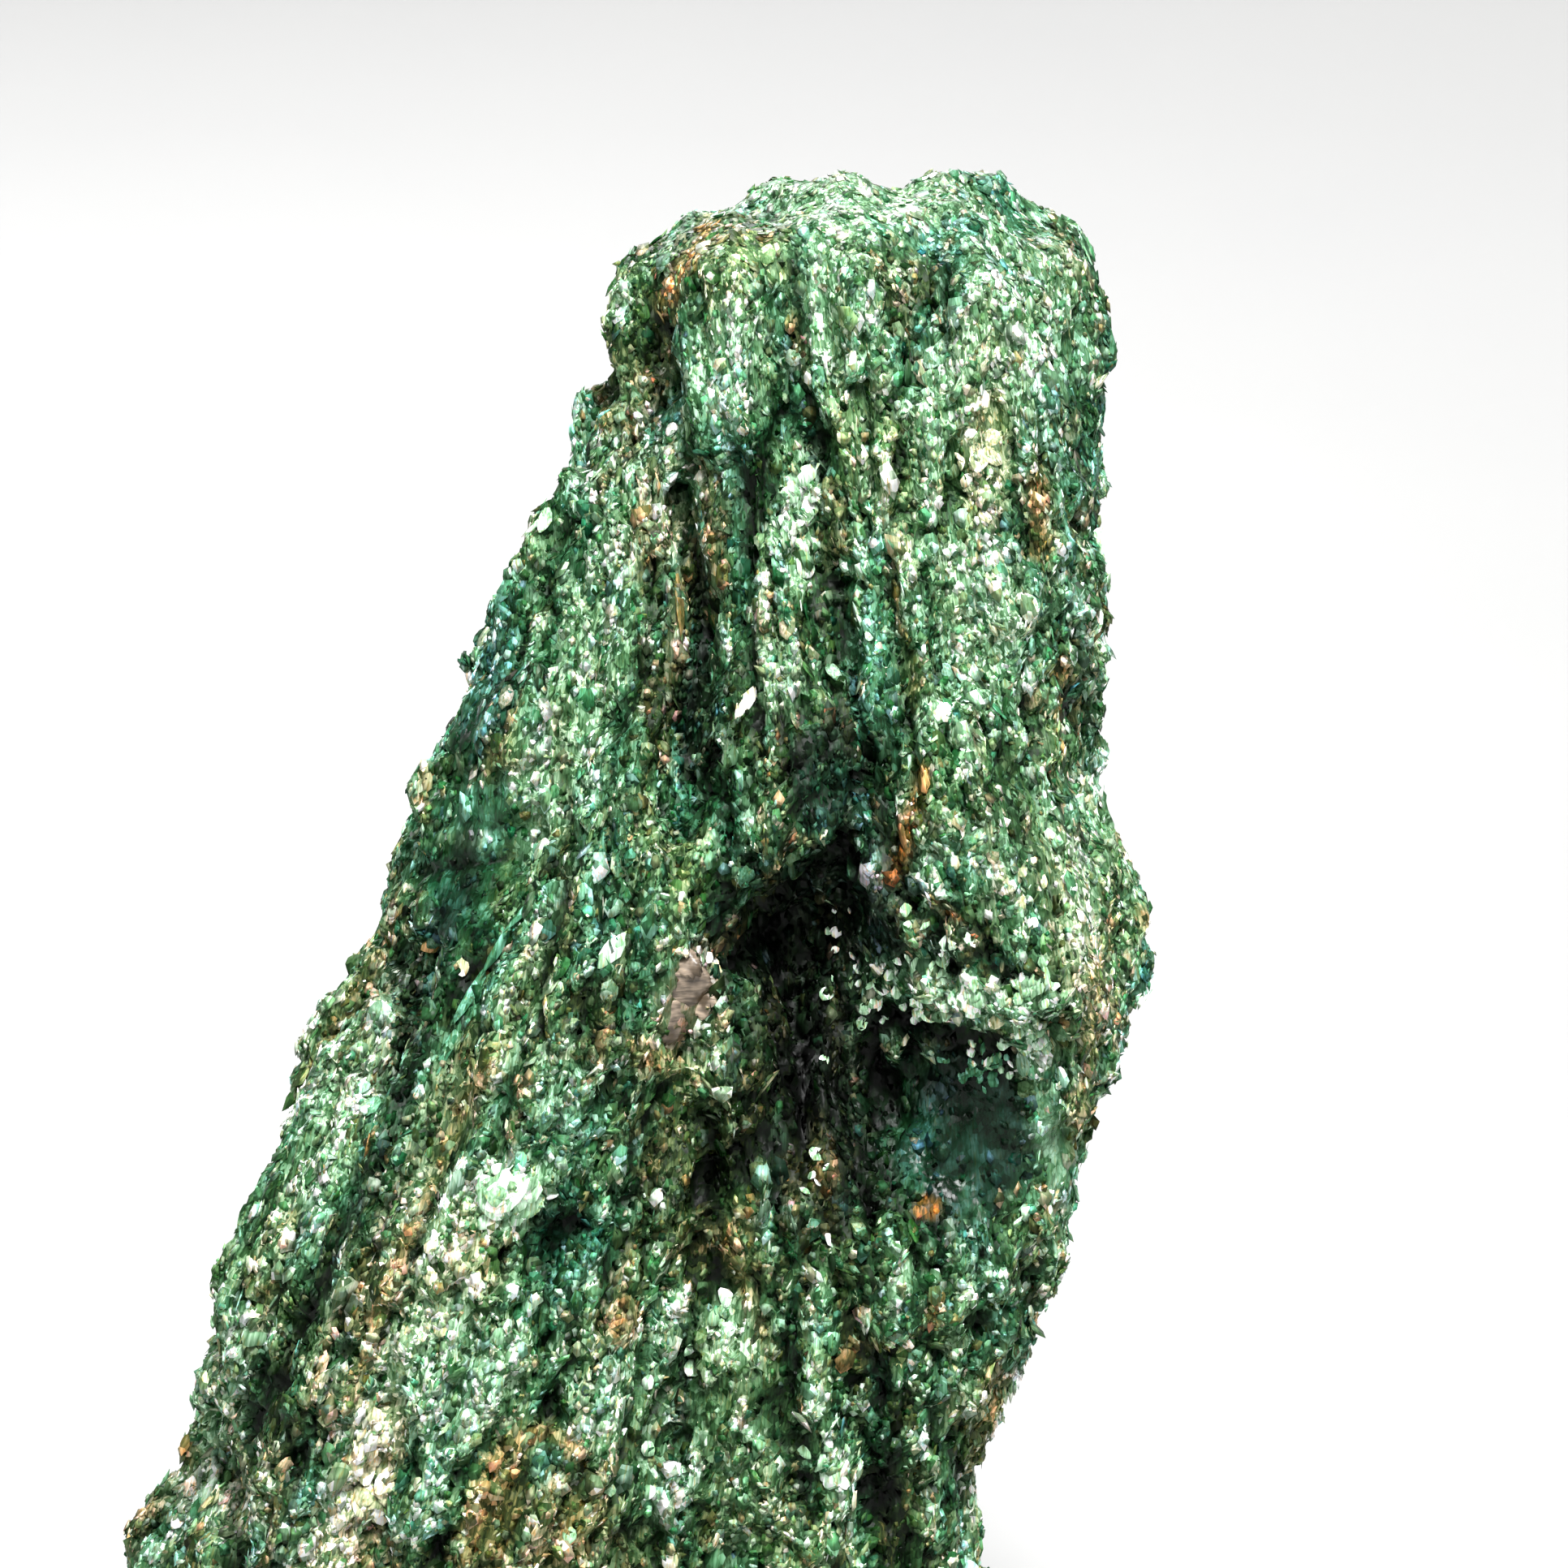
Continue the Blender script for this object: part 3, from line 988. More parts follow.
def aim_at(thing: bpy.types.Object, place: Vector, target: Vector) -> None:
    """Puts a lamp or camera in its place and turns it to a target."""
    thing.location = place
    thing.rotation_euler = (target - place).to_track_quat("-Z", "Y").to_euler()


def part_of_stone(piece: bpy.types.Object) -> bpy.types.Object:
    """Says that a piece rides with the stone, stands for its CAD solid and has a finish slot."""
    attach(piece, "root")
    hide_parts(STONE)
    return piece


def mesh_points(mesh: bpy.types.Mesh) -> np.ndarray:
    """The mesh's points in millimetres, one row each."""
    flat = np.empty(len(mesh.vertices) * 3)
    mesh.vertices.foreach_get("co", flat)
    return flat.reshape(-1, 3) / MM


def write_tones(mesh: bpy.types.Mesh, tones: np.ndarray) -> None:
    """Gives each point of the mesh its red, green, blue and roughness."""
    tone = mesh.color_attributes.new("tone", "FLOAT_COLOR", "POINT")
    tone.data.foreach_set("color", tones.ravel())


def mesh_normals(mesh: bpy.types.Mesh) -> np.ndarray:
    """The way that the surface faces at each point of the mesh."""
    flat = np.empty(len(mesh.vertices) * 3, dtype=np.float32)
    mesh.vertex_normals.foreach_get("vector", flat)
    return flat.reshape(-1, 3).astype(float)


@dataclass
class StoneBody:
    """The body of the stone: the CAD solid's form, rounded off and roughened at the scale of the mica.

    Ledges are the broken ends of thin layers, splits are narrow cracks between layers, and
    crumbs are loose lumps.
    """

    voxel: float = 0.46
    merging: float = 0.001
    smoothing: int = 5
    smoothing_share: float = 0.5
    ledge_streaks: Grain = Grain(1.7, 10.0, 3, 5.1)
    ledge_height: float = 0.34
    ledge_relief: float = 1.15
    ledge_edge: Limits = (0.55, 1.0)
    split_streaks: Grain = Grain(1.0, 11.0, 2, 17.9)
    split_depth: float = 0.75
    split_share: float = 0.26
    split_edge: Limits = (0.0, 0.55)
    bundle_step: float = 0.50
    bundle_dome: float = 0.28
    bundle_edge: Limits = (0.0, 0.45)
    bundle_middle: float = 0.7
    crumb_lumps: Grain = Grain(1.5, 1.5 * 1.4, 2, 29.3)
    crumb_relief: float = 0.25
    base_band: Limits = (0.0, 0.8)
    breaks: Bundles = Bundles(width=1.5, length=2.6, seed=9)
    break_step: float = 0.45
    break_lean: float = 0.2
    break_calm: float = 0.85
    top_band: Limits = (81.5, 86.5)
    top_calm: float = 0.92
    smooth_roughness: float = 0.24
    roughness: float = 0.50
    colouring: Colouring = field(default_factory=Colouring)

    def rounded(self) -> bpy.types.Mesh:
        """A fine mesh of the CAD solid with its facets rounded off."""
        source = bmesh.new()
        source.from_mesh(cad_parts[STONE].data)
        bmesh.ops.remove_doubles(source, verts=source.verts[:], dist=self.merging * MM)
        mesh = bpy.data.meshes.new("stone_body")
        source.to_mesh(mesh)
        source.free()
        thing = object_from(mesh, "stone_rough")
        remesh = thing.modifiers.new("fine", "REMESH")
        remesh.mode = "VOXEL"
        remesh.voxel_size = self.voxel * MM
        graph = bpy.context.evaluated_depsgraph_get()
        fine = bpy.data.meshes.new_from_object(thing.evaluated_get(graph))
        bpy.data.objects.remove(thing, do_unlink=True)
        work = bmesh.new()
        work.from_mesh(fine)
        for _ in range(self.smoothing):
            bmesh.ops.smooth_vert(work, verts=work.verts[:], factor=self.smoothing_share, use_axis_x=True,
                                  use_axis_y=True, use_axis_z=True)
        work.to_mesh(fine)
        work.free()
        return fine

    def relief(self, points: np.ndarray, normals: np.ndarray) -> np.ndarray:
        """How far each point stands out of the rounded body, in millimetres."""
        streaks = self.colouring.foliation.streaks
        level = streaks(points, self.ledge_streaks)
        level *= self.ledge_relief / self.ledge_height
        tread = np.floor(level)
        ledges = self.ledge_height * (tread + soft_step(level - tread, *self.ledge_edge))
        near_split = np.abs(streaks(points, self.split_streaks)) / self.split_share
        splits = -self.split_depth * (1.0 - soft_step(near_split, *self.split_edge))
        own, rims = self.colouring.bundles.at(points)
        domes = self.bundle_dome * (soft_step(rims, *self.bundle_edge) - self.bundle_middle)
        bundles = self.bundle_step * (own[:, LEVEL_LOT] - 0.5) + domes
        rough = ledges + splits + bundles + self.crumb_relief * lumps(points, self.crumb_lumps)
        broken, _ = self.breaks.at(points)
        steps = self.break_step * (broken[:, LEVEL_LOT] - 0.5)
        breaks = steps + self.break_lean * (broken[:, 0] - 0.5)
        rough += (breaks - self.break_calm * rough) * self.colouring.smooth_share(points, normals)
        rough *= 1.0 - self.top_calm * soft_step(points[:, 2], *self.top_band)
        places = self.colouring.view.seen(points)
        cuts = sum(seam.cut(places) for seam in SEAMS if seam.depth > 0.0)
        return rough - cuts * self.colouring.front_share(normals)

    def build(self) -> bpy.types.Object:
        """Makes and dresses the body."""
        mesh = self.rounded()
        points, normals = mesh_points(mesh), mesh_normals(mesh)
        heights = self.relief(points, normals)
        above = soft_step(points[:, 2], *self.base_band)
        moved = points + normals * (heights * above)[:, None]
        moved[:, 2] = np.maximum(moved[:, 2], 0.0)
        mesh.vertices.foreach_set("co", (moved * MM).ravel())
        mesh.update()
        facing = mesh_normals(mesh)
        colours = self.colouring.at(moved, facing, heights)
        smooth = self.colouring.smooth_share(moved, facing)
        roughness = self.roughness + (self.smooth_roughness - self.roughness) * smooth
        for name, values in (("height", heights), ("smooth", smooth)):
            mesh.attributes.new(name, "FLOAT", "POINT").data.foreach_set("value", values)
        write_tones(mesh, np.column_stack((colours, roughness)))
        mesh.polygons.foreach_set("use_smooth", [True] * len(mesh.polygons))
        mesh.materials.clear()
        mesh.materials.append(MicaFinish("mica_schist", brightness=0.62).material())
        return part_of_stone(object_from(mesh, "stone_body"))


def taken_apart(shape: bmesh.types.BMesh) -> Shape:
    """Lists a shape's points, faces and map, and frees it.

    The map lays the upper side in the left part of a unit square and the rest at the right,
    where the under side is drawn in so that the rim lies around it.

    Args:
        shape: The shape, which is turned outwards first.

    Returns:
        Its points, its faces as lists of point numbers, and the place of each corner in the map.
    """
    bmesh.ops.recalc_face_normals(shape, faces=shape.faces[:])
    shape.normal_update()
    shape.verts.index_update()
    points = np.array([tuple(vertex.co) for vertex in shape.verts])
    faces = [[vertex.index for vertex in face.verts] for face in shape.faces]
    upper = [face.normal.z > UPPER_FROM for face in shape.faces]
    shape.free()
    on_top = {number for face, is_upper in zip(faces, upper) if is_upper for number in face}
    shrink = np.array([1.0 if number in on_top else UNDER_SHRINK for number in range(len(points))])
    low, high = points[:, :2].min(axis=0), points[:, :2].max(axis=0)
    flat = (points[:, :2] - low) / (high - low) - 0.5
    inner = flat * shrink[:, None]
    places = []
    for face, is_upper in zip(faces, upper):
        size, middle = UPPER_BLOCK if is_upper else UNDER_BLOCK
        places.append((flat if is_upper else inner)[face] * size + middle)
    return points, faces, np.concatenate(places)


@dataclass(frozen=True)
class LeafForm:
    """Thin leaves of unit width and length with a ragged rim, which bend down to the stone."""

    sides: int = 12
    ragged: Limits = (0.82, 1.12)
    pointing: float = 0.8
    rings: int = 2
    ring_width: float = 0.11
    waves: Limits = (-0.02, 0.02)
    bend: float = 0.55
    thickness: float = 0.07

    def shape(self, kind: LeafKind, seed: int) -> Shape:
        """Makes one leaf.

        Args:
            kind: Its outline. Slim kinds are pointed at both ends.
            seed: Which ragged rim it has.

        Returns:
            Its points, faces and map.
        """
        chance = np.random.default_rng(seed)
        pointed = 1.0 - kind.value
        shape = bmesh.new()
        bmesh.ops.create_circle(shape, cap_ends=True, segments=self.sides, radius=0.5)
        for vertex in shape.verts:
            vertex.co *= chance.uniform(*self.ragged)
            vertex.co.x *= 1.0 - self.pointing * pointed * (2.0 * vertex.co.y) ** 2
        for _ in range(self.rings):
            widest = max(shape.faces, key=lambda face: face.calc_area())
            bmesh.ops.inset_region(shape, faces=[widest], thickness=self.ring_width, depth=0.0,
                                   use_even_offset=True)
        for vertex in shape.verts:
            fall = self.bend * (vertex.co.x ** 2 + vertex.co.y ** 2)
            vertex.co.z = chance.uniform(*self.waves) - fall
        bmesh.ops.solidify(shape, geom=shape.faces[:], thickness=self.thickness)
        return taken_apart(shape)


@dataclass(frozen=True)
class FacetForm:
    """Smooth faces of unit width and length with a ragged rim, which sink into the stone."""

    columns: int = 10
    rows: int = 12
    rim_from: float = 0.99
    narrowing: float = 0.30
    wedge: float = 0.12
    shortening: float = 0.20
    ragged: float = 0.035
    sinking: float = 0.16
    thickness: float = 0.4

    def shape(self, seed: int) -> Shape:
        """Makes one face.

        Args:
            seed: Which ragged rim it has.

        Returns:
            Its points, faces and map.
        """
        chance = np.random.default_rng(seed)
        shape = bmesh.new()
        bmesh.ops.create_grid(shape, x_segments=self.columns, y_segments=self.rows, size=0.5)
        for vertex in shape.verts:
            across, along = 2.0 * vertex.co.x, 2.0 * vertex.co.y
            out = max(abs(across), abs(along))
            vertex.co.x *= (1.0 - self.narrowing * along ** 4) * (1.0 + self.wedge * along)
            vertex.co.y *= 1.0 - self.shortening * across ** 4
            vertex.co.x += (out > self.rim_from) * chance.normal(0.0, self.ragged)
            vertex.co.y += (out > self.rim_from) * chance.normal(0.0, self.ragged)
            vertex.co.z = -self.sinking * out ** 6
        bmesh.ops.solidify(shape, geom=shape.faces[:], thickness=self.thickness)
        return taken_apart(shape)


@dataclass(frozen=True)
class FlakeForm:
    """Flakes of about unit width: flat plates with a ragged rim that narrow to a point below."""

    depth: float = 0.34
    rim_from: float = -0.1
    ragged: Limits = (0.72, 1.18)

    def shape(self, sides: int, seed: int) -> Shape:
        """Makes one flake.

        Args:
            sides: Sides of the plate.
            seed: Which ragged rim it has.

        Returns:
            Its points, faces and map.
        """
        chance = np.random.default_rng(seed)
        shape = bmesh.new()
        bmesh.ops.create_cone(shape, cap_ends=True, segments=sides, radius1=0.5, radius2=0.0,
                              depth=self.depth)
        bmesh.ops.rotate(shape, verts=shape.verts[:], matrix=Matrix.Rotation(math.pi, 3, "X"))
        bmesh.ops.translate(shape, verts=shape.verts[:], vec=(0.0, 0.0, -self.depth / 2.0))
        for vertex in shape.verts:
            if vertex.co.z > self.rim_from:
                longer = chance.uniform(*self.ragged)
                vertex.co.x *= longer
                vertex.co.y *= longer
        return taken_apart(shape)


def flake_axes(facing: np.ndarray, along: np.ndarray, chance: np.random.Generator, tilts: np.ndarray,
               swing: float) -> np.ndarray:
    """Three axes for each flake: across, along and out.

    Args:
        facing: The way that the bundle under each flake faces.
        along: The way that the layers run there.
        chance: Random numbers.
        tilts: How far each flake leans off its bundle.
        swing: How far its length turns off the layers.

    Returns:
        One 3 by 3 block for each flake, with the axes as its columns.
    """
    out = unit_rows(unit_rows(facing) + tilts[:, None] * chance.standard_normal(facing.shape))
    length = along + swing * chance.standard_normal(facing.shape)
    length = unit_rows(length - out * np.sum(length * out, axis=1)[:, None])
    return np.stack((np.cross(length, out), length, out), axis=2)


def leaning_axes(out: np.ndarray, lean: float) -> np.ndarray:
    """Three axes of a single flake or face: across, along and out, as the columns of a block.

    Args:
        out: The way that it faces, of any length.
        lean: How far its length leans in the front view, in degrees.

    Returns:
        The block, 3 by 3.
    """
    out = out / np.linalg.norm(out)
    angle = math.radians(lean)
    along = np.array((math.sin(angle), 0.0, math.cos(angle)))
    along -= out * (along @ out)
    along /= np.linalg.norm(along)
    return np.column_stack((np.cross(along, out), along, out))


@dataclass(frozen=True)
class Single:
    """One flake or face laid on the stone: its middle, axes, width, length, colour and roughness."""

    centre: np.ndarray
    axes: np.ndarray
    width: float
    length: float
    colour: np.ndarray
    roughness: float


@dataclass
class FlakeSet:
    """Flakes that become one piece: where they are, how they lie, and their size and colour."""

    centres: np.ndarray
    axes: np.ndarray
    sizes: np.ndarray
    colours: np.ndarray

    @classmethod
    def of(cls, singles: Sequence[Single]) -> "FlakeSet":
        """Puts single flakes in one set."""
        return cls(
            centres=np.array([single.centre for single in singles]),
            axes=np.array([single.axes for single in singles]),
            sizes=np.array([(single.width, single.length, single.width) for single in singles]),
            colours=np.array([(*single.colour, single.roughness) for single in singles]),
        )

    def piece(self, name: str, shapes: Sequence[Shape], material: bpy.types.Material,
              slot: str = "mica_flakes") -> bpy.types.Object:
        """Joins the flakes in one mesh.

        Args:
            name: The piece's name.
            shapes: The shapes that the flakes take in turn.
            material: Their material.
            slot: Their finish slot.

        Returns:
            The finished piece.
        """
        rows: list[np.ndarray] = []
        corners: list[np.ndarray] = []
        counts: list[np.ndarray] = []
        shades: list[np.ndarray] = []
        maps: list[np.ndarray] = []
        start = 0
        grid = math.ceil(math.sqrt(len(self.centres)))
        for turn, (points, faces, places) in enumerate(shapes):
            pick = np.arange(turn, len(self.centres), len(shapes))
            cells = np.column_stack((pick % grid, pick // grid))
            maps.append(((cells[:, None, :] + places[None, :, :]) / grid).reshape(-1, 2))
            scaled = points[None, :, :] * self.sizes[pick][:, None, :]
            placed = np.einsum("nij,nkj->nki", self.axes[pick], scaled) + self.centres[pick][:, None, :]
            placed[:, :, 2] = np.maximum(placed[:, :, 2], 0.0)
            rows.append(placed.reshape(-1, 3))
            order = np.concatenate([np.array(face) for face in faces])
            shift = start + np.arange(len(pick)) * len(points)
            corners.append((order[None, :] + shift[:, None]).ravel())
            counts.append(np.tile([len(face) for face in faces], len(pick)))
            shades.append(np.repeat(self.colours[pick], len(points), axis=0))
            start += len(pick) * len(points)
        mesh = bpy.data.meshes.new(name)
        fill_mesh(mesh, np.concatenate(rows), np.concatenate(corners), np.concatenate(counts))
        write_tones(mesh, np.concatenate(shades))
        own_map = mesh.uv_layers.new(name=MAP_NAME, do_init=False)
        own_map.uv.foreach_set("vector", np.concatenate(maps).ravel())
        mesh.materials.append(material)
        return part_of_stone(object_from(mesh, name))


def fill_mesh(mesh: bpy.types.Mesh, points: np.ndarray, corners: np.ndarray, counts: np.ndarray) -> None:
    """Fills an empty mesh from joined copies of a shape.

    Args:
        mesh: The mesh.
        points: Places in millimetres.
        corners: The point at each corner, face after face.
        counts: How many corners each face has.
    """
    mesh.vertices.add(len(points))
    mesh.vertices.foreach_set("co", (points * MM).ravel())
    mesh.loops.add(len(corners))
    mesh.loops.foreach_set("vertex_index", corners)
    mesh.polygons.add(len(counts))
    mesh.polygons.foreach_set("loop_start", np.concatenate(([0], np.cumsum(counts)[:-1])))
    mesh.update(calc_edges=True)


@dataclass
class FlakeCoat:
    """The coat of small loose flakes over the whole stone, in several pieces.

    The lots are the stretches of a random number from 0 to 1 that give a flake a tone of its own.
    """

    pieces: int = 6
    flakes_in_piece: int = 19600
    sides: tuple[int, ...] = (5, 5, 4, 5, 6, 5, 4)
    smallest: float = 0.26
    usual: float = 0.46
    largest: float = 1.25
    size_variety: float = 0.38
    slimmest: float = 0.95
    longest: float = 1.9
    length_power: float = 1.8
    fibre_share: float = 0.05
    fibre_tilt: float = 0.05
    fibre_sink: float = 0.07
    fibre_widths: Limits = (0.12, 0.22)
    fibre_lengths: Limits = (0.9, 2.2)
    tilt: float = 0.15
    bundle_tilt: float = 0.50
    swing: float = 0.16
    lift: float = 0.02
    thread_lift: float = 0.22
    lowest: float = 0.45
    crack_edge: Limits = (-1.0, -0.2)
    crack_share: float = 0.3
    smooth_bare: float = 0.88
    variety: float = 0.42
    hue_variety: float = 0.30
    hue_parts: Triple = (1.0, 0.3, 0.8)
    hue_calm: float = 0.5
    light_edge: Limits = (0.02, 0.25)
    tone_lots: tuple[tuple[Tone, float, float], ...] = (
        (Tone.MINT, 0.0, 0.13), (Tone.CREAM, 0.96, 1.0), (Tone.OCHRE, 0.92, 0.96))
    tone_share: float = 0.5
    tone_edge: Limits = (0.03, 0.14)
    dark_lots: Limits = (0.20, 0.36)
    dark_parts: Triple = (0.30, 0.60, 0.40)
    sparkling: float = 0.10
    sparkle: Limits = (0.12, 0.22)
    roughness: Limits = (0.38, 0.62)
    reflecting: Limits = (0.0015, 0.85)
    seed: int = 20
    colouring: Colouring = field(default_factory=Colouring)

    def spots(self, body: bpy.types.Object, chance: np.random.Generator,
              number: int) -> tuple[np.ndarray, np.ndarray, np.ndarray]:
        """Picks places on the body, evenly over its surface but fewer in its cracks.

        Args:
            body: The stone's body.
            chance: Random numbers.
            number: How many places.

        Returns:
            The places in millimetres, the way that the surface faces at each, and how far it
            stands out.
        """
        mesh = body.data
        mesh.calc_loop_triangles()
        corners = np.empty(len(mesh.loop_triangles) * 3, dtype=np.int32)
        mesh.loop_triangles.foreach_get("vertices", corners)
        corners = corners.reshape(-1, 3)
        points, normals = mesh_points(mesh), mesh_normals(mesh)
        triangles = points[corners]
        cross = np.cross(triangles[:, 1] - triangles[:, 0], triangles[:, 2] - triangles[:, 0])
        heights = np.empty(len(points), dtype=np.float32)
        mesh.attributes["height"].data.foreach_get("value", heights)
        corner_heights = heights[corners]
        areas = np.linalg.norm(cross, axis=1)
        outside = soft_step(corner_heights.mean(axis=1), *self.crack_edge)
        areas *= self.crack_share + (1.0 - self.crack_share) * outside
        smooth = self.colouring.smooth_share(points, normals)[corners].mean(axis=1)
        areas *= 1.0 - self.smooth_bare * smooth
        areas[triangles[:, :, 2].max(axis=1) < self.lowest] = 0.0
        pick = chance.choice(len(areas), size=number, p=areas / areas.sum())
        first, second = chance.random(number), chance.random(number)
        over = first + second > 1.0
        first[over], second[over] = 1.0 - first[over], 1.0 - second[over]
        shares = np.column_stack((1.0 - first - second, first, second))
        places = np.einsum("nk,nki->ni", shares, triangles[pick])
        facing = unit_rows(np.einsum("nk,nki->ni", shares, normals[corners[pick]]))
        places[:, 2] = np.maximum(places[:, 2], self.lowest)
        return places, facing, np.einsum("nk,nk->n", shares, corner_heights[pick])

    def colours(self, places: np.ndarray, facing: np.ndarray, heights: np.ndarray,
                chance: np.random.Generator) -> np.ndarray:
        """Gives each flake its own shade of the colour that the schist has there.

        Args:
            places: Places in millimetres.
            facing: The way that the surface faces at each.
            heights: How far each stands out of the rounded stone.
            chance: Random numbers.

        Returns:
            Linear red, green and blue, and a roughness in the fourth column.
        """
        ground = self.colouring.at(places, facing, heights)
        number = len(places)
        level = np.exp(self.variety * chance.standard_normal(number))
        colours = ground * level[:, None] ** DARKENING
        dark = 1.0 - self.hue_calm * soft_step(colours.mean(axis=1), *self.light_edge)
        hues = (self.hue_variety * dark)[:, None] * chance.standard_normal((number, 3))
        colours *= np.exp(hues * self.hue_parts)
        lot = chance.random(number)
        light_enough = soft_step(ground.mean(axis=1), *self.tone_edge)
        for tone, low, high in self.tone_lots:
            colours = blended(colours, tone, self.tone_share * ((lot >= low) & (lot < high)) * light_enough)
        colours[(lot > self.dark_lots[0]) & (lot < self.dark_lots[1])] *= np.array(self.dark_parts)
        sparkling = chance.random(number) < self.sparkling
        roughness = np.where(sparkling, chance.uniform(*self.sparkle, number),
                             chance.uniform(*self.roughness, number))
        return np.column_stack((np.clip(colours, *self.reflecting), roughness))

    def build(self, body: bpy.types.Object) -> list[bpy.types.Object]:
        """Makes and dresses the coat.

        Args:
            body: The stone's body, which the flakes lie on.

        Returns:
            The pieces of the coat.
        """
        shapes = [FlakeForm().shape(sides, seed) for seed, sides in enumerate(self.sides)]
        material = MicaFinish("mica_flakes", plate_width=0.40, plate_length=0.55, fibre_contrast=1.6,
                              fibre_tilt=0.35, brightness=0.96).material()
        made = []
        for number in range(self.pieces):
            chance = np.random.default_rng(self.seed + number)
            places, facing, heights = self.spots(body, chance, self.flakes_in_piece)
            own, _ = self.colouring.bundles.at(places)
            fibres = chance.random(len(places)) < self.fibre_share
            bundle_tilt = np.where(fibres, self.fibre_tilt, self.bundle_tilt)[:, None]
            bundle_facing = facing + bundle_tilt * (own[:, :3] - 0.5)
            along = self.colouring.foliation.directions(places)
            lifts = np.where(fibres, -self.fibre_sink, self.lift)
            lifts = lifts + self.thread_lift * self.colouring.threads(places)
            tilts = np.where(fibres, self.fibre_tilt, self.tilt)
            flakes = FlakeSet(
                centres=places + facing * lifts[:, None],
                axes=flake_axes(bundle_facing, along, chance, tilts, self.swing),
                sizes=self.sizes(chance, fibres),
                colours=self.colours(places, facing, heights, chance),
            )
            made.append(flakes.piece(f"flake_coat_{number + 1}", shapes, material))
        return made

    def sizes(self, chance: np.random.Generator, fibres: np.ndarray) -> np.ndarray:
        """Width, length and depth of each flake: most are small plates, and some are slim fibres."""
        number, slim = len(fibres), np.count_nonzero(fibres)
        widths = self.usual * np.exp(self.size_variety * chance.standard_normal(number))
        widths = np.clip(widths, self.smallest, self.largest)
        longer = chance.random(number) ** self.length_power
        lengths = widths * (self.slimmest + (self.longest - self.slimmest) * longer)
        widths[fibres] = chance.uniform(*self.fibre_widths, slim)
        lengths[fibres] = chance.uniform(*self.fibre_lengths, slim)
        return np.column_stack((widths, lengths, widths))


@dataclass(frozen=True)
class Landing:
    """Finds where a place in the front view lies on the stone, and the way that the stone faces there."""

    body: bpy.types.Object
    view: FrontView = FrontView()

    def at(self, place: Place, reach: Place, lean: float = 0.0) -> tuple[np.ndarray, np.ndarray]:
        """Looks at nine points around a place.

        Args:
            place: The place in the front view.
            reach: How far the points lie from it, across and along.
            lean: How far the reach leans, in degrees.

        Returns:
            The middle of what they hit, in millimetres, and the mean way that it faces.
        """
        eye = self.view.camera_place()
        rise = Vector((0.0, math.sin(self.view.down), math.cos(self.view.down)))
        angle = math.radians(lean)
        spots, facings = [], []
        for out, up in itertools.product((-1, 0, 1), repeat=2):
            across = place[0] + out * reach[0] * math.cos(angle) + up * reach[1] * math.sin(angle)
            above = place[1] - out * reach[0] * math.sin(angle) + up * reach[1] * math.cos(angle)
            target = Vector((across, 0.0, self.view.up)) * MM + rise * (above - self.view.up) * MM
            hit, spot, facing, _ = self.body.ray_cast(eye, (target - eye).normalized())
            if hit:
                spots.append(spot / MM)
                facings.append(facing)
        mean = np.mean(facings, axis=0)
        return np.mean(spots, axis=0), mean / np.linalg.norm(mean)


@dataclass(frozen=True)
class Leaf:
    """One large flake: its kind, where it lies in the front view, its length, lean and tone."""

    kind: LeafKind
    place: Place
    length: float
    lean: float
    tone: Tone


@dataclass(frozen=True)
class Cluster:
    """Several large flakes close together on the front."""

    place: Place
    reach: Place
    count: int
    length: float
    tone: Tone


